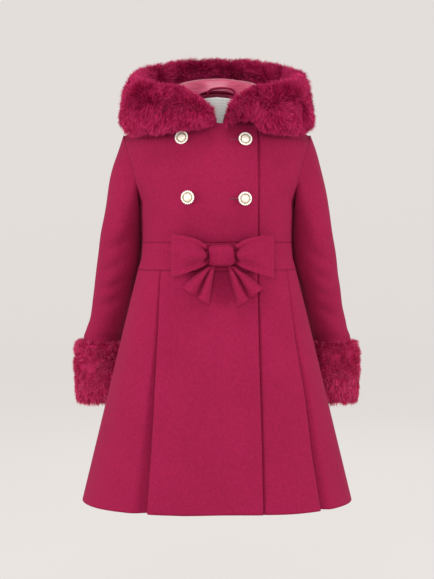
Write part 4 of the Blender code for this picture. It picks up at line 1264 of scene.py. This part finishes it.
@dataclass(frozen=True)
class HoodTrim:
    """The wide band of fur round the hood's edge, in three lengths.

    Rows: share of the way from its tip in front to the back's middle, bottom x y z, top x y z,
    thickness.
    """

    tip_shift: float = 0.0045
    over_flap: float = -0.0300
    side_ends: float = 0.70
    around: int = 28
    square: float = 0.62
    skin_share: float = 0.62
    rows: Table = (
        (0.000, 0.0060, -0.1120, -0.0310, 0.0065, -0.1110, -0.0230, 0.010),
        (0.040, 0.0160, -0.1150, -0.0370, 0.0170, -0.1120, 0.0000, 0.024),
        (0.100, 0.0340, -0.1180, -0.0420, 0.0350, -0.1130, 0.0200, 0.030),
        (0.190, 0.0600, -0.1190, -0.0470, 0.0600, -0.1120, 0.0350, 0.034),
        (0.300, 0.0980, -0.1110, -0.0520, 0.0940, -0.1020, 0.0410, 0.038),
        (0.420, 0.1390, -0.0830, -0.0530, 0.1240, -0.0730, 0.0520, 0.043),
        (0.540, 0.1530, -0.0220, -0.0375, 0.1270, -0.0200, 0.0630, 0.045),
        (0.660, 0.1490, 0.0400, -0.0300, 0.1230, 0.0360, 0.0760, 0.046),
        (0.790, 0.1180, 0.0950, -0.0050, 0.1000, 0.0880, 0.0900, 0.046),
        (0.900, 0.0680, 0.1380, 0.0220, 0.0600, 0.1280, 0.1010, 0.044),
        (1.000, 0.0000, 0.1560, 0.0340, 0.0000, 0.1450, 0.1050, 0.044),
    )
    pile: Pile = Pile(hairs=30000, lean=0.0085)

    def ring(self, share: float, side: int) -> np.ndarray:
        """The fur's section at one place: a rounded bar from its bottom point to its top point."""
        row = table_at(self.rows, np.array([share]))[:, 0]
        near = table_at(self.rows, np.array([max(share - 0.01, 0), min(share + 0.01, 1)]))
        bottom, top, thickness = row[0:3], row[3:6], row[6]
        if side > 0:
            beside_flap = smooth_step((bottom[0] - BODY.overlap_top + 0.004) / 0.012)
            bottom[2] = max(bottom[2], self.over_flap + beside_flap * (bottom[2] - self.over_flap))
        forward = near[0:3, 1] - near[0:3, 0]
        forward[2] = 0
        height = top - bottom
        across = np.cross(forward, height)
        across /= np.linalg.norm(across)
        turn = np.linspace(0, 2 * math.pi, self.around, endpoint=False)
        out = np.sign(np.cos(turn)) * np.abs(np.cos(turn)) ** self.square * thickness / 2
        up = np.sign(np.sin(turn)) * np.abs(np.sin(turn)) ** self.square / 2
        ring = mirrored((bottom + top) / 2 + np.outer(out, across) + np.outer(up, height), side)
        ring[:, 0] += self.tip_shift * (1 - smooth_step(share / 0.2))
        return ring

    def grow(self, name: str, rings: list[np.ndarray], seed: int, finishes: dict) -> None:
        """One length of the trim, its skin inside the pile."""
        outer = np.array(rings)
        middle = outer.mean(axis=1, keepdims=True)
        skin = middle + (outer - middle) * self.skin_share
        parts = self.pile.grow(outer, skin, (0, 0, -0.6), False, seed, finishes[Slot.FUR])
        make_object(f"{name}_fur", name, parts)

    def build(self, finishes: dict) -> None:
        """Grows the two sides and the back."""
        near = np.concatenate([np.linspace(0, 0.10, 8)[:-1], np.linspace(0.10, self.side_ends - 0.001, 32)])
        for side in Side:
            rings = [self.ring(share, side.value) for share in near]
            self.grow(f"hood_trim_{side.word}", rings, 20 + side.value, finishes)
        far = np.linspace(self.side_ends + 0.001, 1, 20)
        left = [self.ring(share, 1) for share in far]
        right = [self.ring(share, -1) for share in far[-2::-1]]
        self.grow("hood_trim_back", left + right, 23, finishes)


@dataclass(frozen=True)
class Hood:
    """Two wool halves and a satin lining, thrown back into a pouch behind the neck.

    The neck's rows hold share, x, y, z from the front to the back's middle; the edge's hold share,
    x, y. The heights' rows hold a share and the height at each of the reaches, from neck to edge.
    """

    rows: int = 72
    columns: int = 72
    middle_seam: float = 0.0002
    lining_inset: float = 0.0053
    lining_reach: float = 13 / 15
    row_reach: Table = ((0.0, 0.0), (0.12, 0.14), (0.42, 0.56), (0.66, 0.80), (0.84, 0.94), (1.0, 1.0))
    lining_start: float = 5 / 12
    neck: Table = (
        (0.00, 0.0150, -0.0840, -0.0250),
        (0.25, 0.0430, -0.0600, -0.0140),
        (0.50, 0.0630, 0.0000, 0.0035),
        (0.75, 0.0450, 0.0390, 0.0215),
        (0.94, 0.0130, 0.0590, 0.0332),
        (1.00, 0.0000, 0.0600, 0.0338),
    )
    edge: Table = (
        (0.00, 0.0180, -0.0975),
        (0.25, 0.0850, -0.0780),
        (0.50, 0.1250, -0.0150),
        (0.60, 0.1230, 0.0180),
        (0.68, 0.1210, 0.0520),
        (0.78, 0.1130, 0.0990),
        (0.94, 0.0340, 0.1500),
        (1.00, 0.0000, 0.1550),
    )
    reach: tuple[float, ...] = (0.00, 0.14, 0.32, 0.44, 0.56, 0.78, 0.94, 1.00)
    heights: Table = (
        (0.00, -0.025, -0.019, -0.014, -0.012, -0.011, -0.010, -0.010, -0.010),
        (0.25, -0.0140, 0.005, 0.008, 0.000, -0.007, -0.012, -0.014, -0.014),
        (0.50, 0.0035, 0.024, 0.022, 0.008, -0.004, -0.016, -0.018, -0.017),
        (0.60, 0.0115, 0.034, 0.031, 0.016, 0.003, -0.005, -0.007, -0.008),
        (0.68, 0.0170, 0.040, 0.037, 0.024, 0.014, 0.002, -0.008, -0.012),
        (0.78, 0.0235, 0.046, 0.042, 0.026, 0.008, -0.026, -0.032, 0.0020),
        (0.94, 0.0332, 0.053, 0.047, 0.016, -0.020, -0.072, -0.058, 0.0400),
        (1.00, 0.0338, 0.054, 0.048, 0.016, -0.022, -0.080, -0.064, 0.0450),
    )
    creases: tuple[Crease, ...] = (
        Crease((0.030, 0.075, 0.045), (0.070, 0.110, -0.030), 0.010, 0.0016),
        Crease((-0.050, 0.070, 0.040), (-0.080, 0.100, -0.020), 0.012, 0.0018),
        Crease((0.010, 0.110, -0.020), (0.020, 0.130, -0.075), 0.012, -0.0014),
        Crease((-0.020, 0.110, -0.020), (-0.034, 0.130, -0.072), 0.010, 0.0016),
    )

    def surface(self, shares: np.ndarray, reach: np.ndarray) -> np.ndarray:
        """Half the hood: shares run from front to back, reach from the neck seam to the edge."""
        neck_x, neck_y, _ = table_at(self.neck, shares)
        edge_x, edge_y = table_at(self.edge, shares)
        heights = table_at(self.heights, shares)
        z = spline(self.reach, heights, reach)
        x = neck_x + (edge_x - neck_x) * reach[:, None]
        return np.stack([x, neck_y + (edge_y - neck_y) * reach[:, None], z], axis=-1)

    def fade(self, rows: int, columns: int) -> np.ndarray:
        """None at the edges of a grid and full a tenth of the way in."""
        up = np.linspace(0, 1, rows)[:, None]
        across = np.linspace(0, 1, columns)
        edge = np.minimum(np.minimum(up, 1 - up), np.minimum(across, 1 - across))
        return smooth_step(edge / 0.10)

    def build(self, finishes: dict) -> None:
        """Builds the two halves and the lining, whose creases follow each other."""
        reach = np.interp(np.linspace(0, 1, self.rows), *np.array(self.row_reach).T)
        half = self.surface(np.linspace(0, 1, self.columns), reach)
        both = np.concatenate([mirrored(half, -1), half[:, -2::-1]], axis=1)
        normal = grid_normals(both)
        normal *= math.copysign(1, normal[self.rows // 5, self.columns - 1, 2])
        move = creased(both, self.creases) + waves(both, 0.05, 71) * 0.0006
        moved = both + normal * (move * self.fade(*both.shape[:2]))[..., None]
        shells = {Side.RIGHT: moved[:, : self.columns].copy(), Side.LEFT: moved[:, self.columns - 1 :].copy()}
        shells[Side.RIGHT][:, -1, 0] = -self.middle_seam
        shells[Side.LEFT][:, 0, 0] = self.middle_seam
        for side, grid in shells.items():
            Cloth(f"hood_{side.word}", grid, face=-1).build(finishes[Slot.WOOL], "folded")
        last = int(np.searchsorted(reach, self.lining_reach))
        first = int(round(self.lining_start * (self.columns - 1)))
        lining = (moved + self.lining_inset * normal)[: last + 1, first:-first]
        Cloth("hood_lining", lining, Slot.LINING, 0.001).build(finishes[Slot.LINING], "folded")


@dataclass(frozen=True)
class NeckFittings:
    """Seam tape, blank label and hanger loop at the middle of the back's neck."""

    tape: tuple[float, float, float] = (0.034, 0.0015, 0.0050)
    label: tuple[float, float, float] = (0.031, 0.0070, 0.048)
    inset: float = 0.0036
    wall: float = 0.001
    loop_inset: float = 0.0068
    half_span: float = 0.0235
    rise: float = 0.013
    radius: float = 0.0018
    middle: float = 0.0075

    @staticmethod
    def on_neck(across: np.ndarray, down) -> np.ndarray:
        """Points on the back, across from its middle and down from its neck edge."""
        share = np.interp(np.abs(across), [0, 0.026, 0.049], [0, 0.16, 0.30])
        rows = BODICE.surface(BODICE.backs, share, 1)
        top, below = rows[-1], rows[-2]
        points = top + (below - top) * (down / np.linalg.norm(top - below, axis=-1))[:, None]
        points[:, 0] = across
        return points

    def patch(self, name: str, slot: Slot, sizes: tuple[float, float, float]) -> Cloth:
        """A flat piece inside the back: half its width, how far below the edge it starts, height."""
        half_width, top, height = sizes
        across = np.linspace(-half_width, half_width, 40)
        grid = np.array([self.on_neck(across, top + height * share) for share in np.linspace(1, 0, 24)])
        grid[:, :, 1] -= self.inset
        return Cloth(name, grid, slot, self.wall)

    def build(self, finishes: dict) -> None:
        """Builds the tape, the label and the loop, whose cord is a tube along a flattened arch."""
        self.patch("neck_tape", Slot.TAPE, self.tape).build(finishes[Slot.TAPE], "laid")
        self.patch("neck_label", Slot.LABEL, self.label).build(finishes[Slot.LABEL], "laid")
        turns = np.linspace(0, math.pi, 48)
        feet = self.on_neck(self.middle - self.half_span * np.cos(turns), 0.002)
        path = np.stack([feet[:, 0], feet[:, 1] - self.loop_inset, feet[0, 2] + self.rise * np.sin(turns) ** 0.6], -1)
        ahead = np.gradient(path, axis=0)
        ahead /= np.linalg.norm(ahead, axis=1, keepdims=True)
        side = np.cross(ahead, [0, 1.0, 0])
        side /= np.linalg.norm(side, axis=1, keepdims=True)
        other = np.cross(ahead, side)
        around = np.linspace(0, 2 * math.pi, 16, endpoint=False)
        ring = np.cos(around)[:, None] * side[:, None] + np.sin(around)[:, None] * other[:, None]
        grid = path[:, None] + self.radius * ring
        closed_tube(
            "hanger_loop_cord", "hanger_loop", grid, finishes[Slot.WOOL]
        )


def closed_tube(name: str, node: str, grid: np.ndarray, material) -> bpy.types.Object:
    """A closed form whose columns run round it, each end shut by triangles to its middle."""
    rows, columns = grid.shape[:2]
    sides = grid_faces(rows, columns, False, True)
    first, last = np.arange(columns), (rows - 1) * columns + np.arange(columns)
    centre = rows * columns
    triangles = np.concatenate([
        np.stack([first, np.full(columns, centre), np.roll(first, -1)], axis=1),
        np.stack([last, np.roll(last, -1), np.full(columns, centre + 1)], axis=1),
        sides[:, [0, 1, 2]],
        sides[:, [0, 2, 3]],
    ])
    points = np.concatenate([grid.reshape(-1, 3), [grid[0].mean(axis=0), grid[-1].mean(axis=0)]])
    return make_object(name, node, [Part(points, triangles, material)])


@dataclass(frozen=True)
class Bow:
    """Two loops, two tails and a knot, of the coat's cloth.

    A loop's rows: share out and back, x, y, top z, bottom z. A tail's rows: share, inner edge x z,
    outer edge x z, y. Right and left are the wearer's.
    """

    right_loop: Table = (
        (0.00, -0.0136, -0.1150, -0.2330, -0.2590),
        (0.22, -0.0330, -0.1290, -0.2200, -0.2680),
        (0.42, -0.0640, -0.1280, -0.2125, -0.2790),
        (0.50, -0.0740, -0.1205, -0.2120, -0.2815),
        (0.58, -0.0640, -0.1120, -0.2130, -0.2790),
        (0.78, -0.0330, -0.1085, -0.2210, -0.2680),
        (1.00, -0.0136, -0.1100, -0.2340, -0.2590),
    )
    left_loop: Table = (
        (0.00, 0.0294, -0.1150, -0.2310, -0.2590),
        (0.22, 0.0470, -0.1290, -0.2200, -0.2680),
        (0.42, 0.0810, -0.1280, -0.2130, -0.2800),
        (0.50, 0.0925, -0.1205, -0.2145, -0.2830),
        (0.58, 0.0810, -0.1120, -0.2150, -0.2800),
        (0.78, 0.0470, -0.1085, -0.2210, -0.2680),
        (1.00, 0.0294, -0.1100, -0.2320, -0.2590),
    )
    right_tail: Table = (
        (0.00, -0.0040, -0.2643, -0.0135, -0.2643, -0.1168),
        (0.40, -0.0080, -0.2880, -0.0330, -0.2760, -0.1200),
        (1.00, -0.0128, -0.3275, -0.0565, -0.2985, -0.1225),
    )
    left_tail: Table = (
        (0.00, 0.0190, -0.2643, 0.0285, -0.2643, -0.1168),
        (0.40, 0.0240, -0.2880, 0.0500, -0.2775, -0.1200),
        (1.00, 0.0350, -0.3300, 0.0745, -0.3005, -0.1225),
    )
    loop_bulge: float = 0.0100
    tail_fold: float = 0.0120
    knot_middle: tuple[float, float, float] = (0.0078, -0.1172, -0.2463)
    knot_half: tuple[float, float, float] = (0.0205, 0.0125, 0.0175)
    loop_creases: tuple[tuple[float, float, float, float], ...] = (
        (0.27, -0.14, 0.07, 0.0085),
        (0.47, 0.03, 0.08, -0.0030),
        (0.68, 0.14, 0.07, 0.0095),
        (0.90, 0.09, 0.06, -0.0020),
    )

    def loop(self, node: str, table: Table) -> Cloth:
        """A band out from the knot and back behind itself, with pinch folds that fan from the knot."""
        along = np.linspace(0, 1, 110)
        x, y, top, bottom = table_at(table, along)
        up = np.linspace(0, 1, 40)[:, None]
        z = bottom + (top - bottom) * up
        out = np.sin(math.pi * along)
        fold = np.zeros(z.shape)
        for height, drift, width, depth in self.loop_creases:
            line = height + drift * out
            near = np.exp(-(((up - line) / (width * (1 + 0.8 * out))) ** 2))
            fold += near * depth * (1 - out) ** 0.55 * smooth_step(along / 0.05)
        ahead = 1 - smooth_step((along - 0.30) / 0.16)
        bulge = self.loop_bulge * np.sin(math.pi * up) * np.sin(math.pi * np.clip(along / 0.46, 0, 1))
        y = y + (fold - bulge) * ahead
        return Cloth(node, np.stack([np.broadcast_to(x, z.shape), y, z], axis=-1))

    def tail(self, node: str, table: Table) -> Cloth:
        """A hanging end whose two halves stand forward, with a deep fold between them."""
        along = np.linspace(0, 1, 60)
        inner_x, inner_z, outer_x, outer_z, y = (column[:, None] for column in table_at(table, along))
        across = np.linspace(0, 1, 44)
        x = inner_x + (outer_x - inner_x) * across
        z = inner_z + (outer_z - inner_z) * across
        along = along[:, None]
        ridges = np.abs(np.sin(2 * math.pi * across ** 0.85)) ** 1.3
        forward = self.tail_fold * ridges * np.sin(math.pi * (0.08 + 0.72 * along)) ** 0.8
        return Cloth(node, np.stack([x, y - forward * smooth_step(along / 0.15), z], axis=-1))

    def knot(self) -> np.ndarray:
        """The tight wrap: a rounded block whose faces carry three soft upright folds."""
        turn = np.linspace(0, 2 * math.pi, 72, endpoint=False)
        shares = np.sin(np.linspace(-math.pi / 2, math.pi / 2, 48))
        rings = []
        for share in shares:
            scale = 0.80 + 0.20 * (1 - abs(share) ** 5)
            groove = 1 - 0.05 * (0.5 + 0.5 * math.cos(share * 9.5)) * (1 - abs(share) ** 6)
            y = np.sign(np.cos(turn)) * np.abs(np.cos(turn)) ** 0.7 * self.knot_half[1] * scale * groove
            z = np.sign(np.sin(turn)) * np.abs(np.sin(turn)) ** 0.7 * self.knot_half[2] * scale
            x = share * self.knot_half[0] + 0.0012 * np.sin(2 * turn + 0.6)
            rings.append(np.stack([x, y, z], axis=-1) + np.array(self.knot_middle))
        return np.array(rings)

    def build(self, finishes: dict) -> None:
        """Builds the five pieces."""
        wool = finishes[Slot.WOOL]
        self.loop("bow_loop_right", self.right_loop).build(wool, "folded")
        self.loop("bow_loop_left", self.left_loop).build(wool, "folded")
        self.tail("bow_tail_right", self.right_tail).build(wool)
        self.tail("bow_tail_left", self.left_tail).build(wool)
        closed_tube("bow_knot_cloth", "bow_knot", self.knot(), wool)


@dataclass(frozen=True)
class Buttons:
    """Four buttons: a pearl in a plated setting, with a ring of small pearls round it.

    A place holds x and z. A profile's rows hold a radius and a height over the cloth.
    """

    places: Table = ((-0.057, -0.0535), (0.046, -0.0565), (-0.047, -0.151), (0.045, -0.153))
    seat: float = 0.0005
    sides: int = 64
    pearl: Table = (
        (0.0001, 0.0082),
        (0.0022, 0.0080),
        (0.0042, 0.0072),
        (0.0058, 0.0058),
        (0.0066, 0.0040),
        (0.0064, 0.0030),
        (0.0001, 0.0030),
    )
    setting: Table = (
        (0.0001, 0.0031),
        (0.0068, 0.0031),
        (0.0076, 0.0040),
        (0.0084, 0.0034),
        (0.0096, 0.0030),
        (0.0104, 0.0028),
        (0.0104, 0.0024),
        (0.0060, 0.0016),
        (0.0050, 0.0000),
        (0.0001, 0.0000),
    )
    beads: int = 20
    bead_ring: float = 0.0098
    bead_radius: float = 0.0017
    bead_height: float = 0.0042
    hole: tuple[float, float, float, float] = (-0.0250, -0.0030, 0.0011, 0.0006)

    def turned(self, seat, normal, table: Table, material, steps: int = 4) -> Part:
        """A profile turned round the button's axis."""
        side = np.cross([0, 0, 1.0], normal)
        side /= np.linalg.norm(side)
        up = np.cross(normal, side)
        rows = np.array(table)
        knots = np.arange(len(rows))
        fine = spline(knots, rows, np.linspace(0, knots[-1], steps * (len(rows) - 1) + 1))
        turn = np.linspace(0, 2 * math.pi, self.sides, endpoint=False)
        ring = np.outer(np.cos(turn), side) + np.outer(np.sin(turn), up)
        grid = seat + normal * (fine[:, 1, None, None] + self.seat) + ring * fine[:, 0, None, None]
        faces = grid_faces(len(fine), self.sides, False, True)
        return Part(grid.reshape(-1, 3), np.concatenate([faces[:, [0, 1, 2]], faces[:, [0, 2, 3]]]), material)

    def bead_part(self, seat, normal, material) -> Part:
        """The ring of small pearls, each a ball of 10 by 7 faces."""
        side = np.cross([0, 0, 1.0], normal)
        side /= np.linalg.norm(side)
        up = np.cross(normal, side)
        place = np.linspace(0, 2 * math.pi, self.beads, endpoint=False)
        middles = seat + normal * (self.bead_height + self.seat)
        middles = middles + self.bead_ring * (np.outer(np.cos(place), side) + np.outer(np.sin(place), up))
        rise = np.linspace(0.05, math.pi - 0.05, 8)[:, None]
        turn = np.linspace(0, 2 * math.pi, 10, endpoint=False)
        ball = np.stack([np.sin(rise) * np.cos(turn), np.sin(rise) * np.sin(turn), np.cos(rise) + 0 * turn], -1)
        points = middles[:, None, None] + self.bead_radius * ball
        faces = grid_faces(8, 10, False, True)
        faces = np.concatenate([faces[:, [0, 1, 2]], faces[:, [0, 2, 3]]])
        starts = np.arange(self.beads)[:, None, None] * 80
        return Part(points.reshape(-1, 3), (faces + starts).reshape(-1, 3), material)

    def hole_part(self, x: float, z: float, material) -> Part:
        """The worked buttonhole that shows beside a button: a low oval cord laid on the cloth."""
        first, last, half_height, rise = self.hole
        turn = np.linspace(0, 2 * math.pi, 10, endpoint=False)
        rings = []
        for share in np.linspace(0, 1, 14):
            seat, normal = BODICE.outside_front(x + first + (last - first) * share, z)
            swell = math.sin(math.pi * (0.08 + 0.84 * share)) ** 0.3
            ring = np.outer(np.cos(turn) * half_height * swell, [0, 0, 1.0]) + np.outer(np.sin(turn) * rise * swell, normal)
            rings.append(seat + normal * self.seat + ring)
        faces = grid_faces(len(rings), len(turn), False, True)
        faces = np.concatenate([faces[:, [0, 1, 2]], faces[:, [0, 2, 3]]])
        return Part(np.array(rings).reshape(-1, 3), faces, material)

    def build(self, pearl, bead, gilt, thread) -> None:
        """Builds each button as one piece, with a buttonhole beside those at +x, and lays it on the right front."""
        for number, (x, z) in enumerate(self.places, 1):
            seat, normal = BODICE.outside_front(x, z)
            parts = [
                self.turned(seat, normal, self.pearl, pearl),
                self.turned(seat, normal, self.setting, gilt),
                self.bead_part(seat, normal, bead),
            ]
            if x > 0:
                parts.append(self.hole_part(x, z, thread))
            make_object(f"button_{number}_pearl", f"button_{number}", parts)


# Studio


@dataclass(frozen=True)
class Studio:
    """The photo's camera, a pale sweep of paper and soft lights."""

    camera_place: tuple[float, float, float] = (0.0, -2.6, -0.180)
    pitch: float = -2.815
    lens: float = 125.67
    floor_z: float = -0.95
    paper_reach: float = 10.0
    paper_bend: float = 1.6
    paper_height: float = 4.5
    paper: str = "5f5d5b"
    paper_light: str = "e6e1dd"
    paper_glow: float = 0.885
    world: float = 0.26
    lights: tuple[tuple[str, tuple[float, float, float], float, float], ...] = (
        ("left_softbox", (-2.4, -1.0, 0.2), 48.0, 1.2),
        ("right_softbox", (2.4, -1.0, 0.1), 46.0, 1.2),
        ("front_softbox", (-0.4, -3.3, 0.4), 34.0, 0.8),
        ("low_softbox", (0.0, -2.9, -0.7), 12.0, 0.6),
        ("top_softbox", (0.0, -0.9, 1.9), 22.0, 1.0),
        ("back_softbox", (0.3, 2.6, 0.9), 24.0, 1.2),
    )

    def sweep(self) -> None:
        """The paper: a round floor that curves up into a wall on every side.

        The profile of distance and height turns about the upright axis.
        """
        bend = np.linspace(0, math.pi / 2, 16)
        reach, round_off = self.paper_reach, self.paper_bend
        out = np.concatenate([np.linspace(0.05, reach - round_off, 12), reach - round_off + round_off * np.sin(bend), [reach]])
        up = np.concatenate([np.zeros(12), round_off * (1 - np.cos(bend)), [self.paper_height]])
        turn = np.linspace(0, 2 * math.pi, 72, endpoint=False)
        profile = np.stack([out, self.floor_z + up], axis=-1)
        grid = np.stack([
            profile[:, :1] * np.cos(turn),
            profile[:, :1] * np.sin(turn),
            np.broadcast_to(profile[:, 1:], (len(profile), len(turn))),
        ], axis=-1)
        mesh = bpy.data.meshes.new("paper_sweep")
        mesh.from_pydata(grid.reshape(-1, 3).tolist(), [], grid_faces(len(profile), len(turn), False, True)[:, ::-1].tolist())
        mesh.shade_smooth()
        material, tree, shader = new_material("paper_backdrop")
        place = add_node(tree, "ShaderNodeTexCoord").outputs["Object"]
        grain = add_node(tree, "ShaderNodeTexNoise", {"Scale": 3.0}, Vector=place).outputs["Fac"]
        colour = colour_ramp(tree, grain, ((0.2, "5d5b59"), (0.8, self.paper)))
        tree.links.new(colour, shader.inputs["Base Color"])
        shader.inputs["Emission Color"].default_value = linear_colour(self.paper_light)
        shader.inputs["Emission Strength"].default_value = self.paper_glow
        shader.inputs["Roughness"].default_value = 1.0
        shader.inputs["Specular IOR Level"].default_value = 0.0
        mesh.materials.append(material)
        paper = bpy.data.objects.new("paper_sweep", mesh)
        bpy.context.scene.collection.objects.link(paper)

    def light(self, name: str, place, power: float, size: float) -> None:
        """A square soft light that faces the coat's middle."""
        lamp = bpy.data.lights.new(name, "AREA")
        lamp.energy, lamp.size = power, size
        holder = bpy.data.objects.new(name, lamp)
        holder.location = place
        aim = Vector((0, 0, -0.3)) - Vector(place)
        holder.rotation_euler = aim.to_track_quat("-Z", "Y").to_euler()
        bpy.context.scene.collection.objects.link(holder)

    def camera(self) -> None:
        """The camera, level with the hem's side of the waist and a little tipped down."""
        lens = bpy.data.cameras.new("photo_camera")
        lens.sensor_fit, lens.sensor_width, lens.lens = "HORIZONTAL", 36.0, self.lens
        lens.clip_end = 50.0
        lens.dof.use_dof = False
        holder = bpy.data.objects.new("photo_camera", lens)
        holder.location = self.camera_place
        holder.rotation_euler = (math.radians(90 + self.pitch), 0, 0)
        bpy.context.scene.collection.objects.link(holder)
        bpy.context.scene.camera = holder

    def build(self) -> None:
        """Sets up the paper, lights, sky and camera."""
        self.sweep()
        for name, place, power, size in self.lights:
            self.light(name, place, power, size)
        world = bpy.data.worlds.new("soft_room")
        world.use_nodes = True
        sky = world.node_tree.nodes["Background"]
        sky.inputs["Color"].default_value = linear_colour("f4f1ee")
        sky.inputs["Strength"].default_value = self.world
        bpy.context.scene.world = world
        bpy.context.scene.view_settings.view_transform = "Standard"
        self.camera()


def make_finishes() -> dict:
    """One material for each of the record's slots."""
    return {
        Slot.WOOL: WoolFelt().make("crimson_wool_felt"),
        Slot.FUR: PileFur().make("crimson_faux_fur"),
        # The cuffs' copy of the crimson fur, painted lighter as light falling on them; its root to tip colours run from
        # painted shade to painted highlight.
        "cuff_fur": PileFur("8e1440", "b2204f", "ca4a76").make("crimson_fur_painted_lighter"),
        Slot.LINING: SatinLining().make("rose_satin_lining"),
        Slot.TAPE: WovenTape("7a1534", "5f0f28").make("dark_red_twill_tape"),
        Slot.LABEL: WovenTape("f6f7f5", "eef0ed", 0.8).make("white_woven_label"),
        Slot.PEARL: Pearl("d6c9b8", "ece3d8").make("cream_pearl"),
    }


def main() -> None:
    """Builds the coat's pieces and the studio."""
    finishes = make_finishes()
    Skirt().build(finishes)
    Waistband().build(finishes)
    BODICE.build(finishes)
    sleeve, cuff = Sleeve(), FurCuff()
    for side in Side:
        sleeve.build(side, finishes)
        cuff.build(side, sleeve, finishes)
    Hood().build(finishes)
    HoodTrim().build(finishes)
    NeckFittings().build(finishes)
    Bow().build(finishes)
    bead = Pearl("e3dcd2", "fbf4ee", 0.12).make("small_white_pearl")
    thread = WovenTape("5a0e2a", "6c1434", 0.5).make("crimson_buttonhole_thread")
    Buttons().build(finishes[Slot.PEARL], bead, GiltSetting().make("pale_gilt_setting"), thread)
    Studio().build()


if __name__ == "__main__":
    logging.basicConfig(level=logging.INFO)
    main()
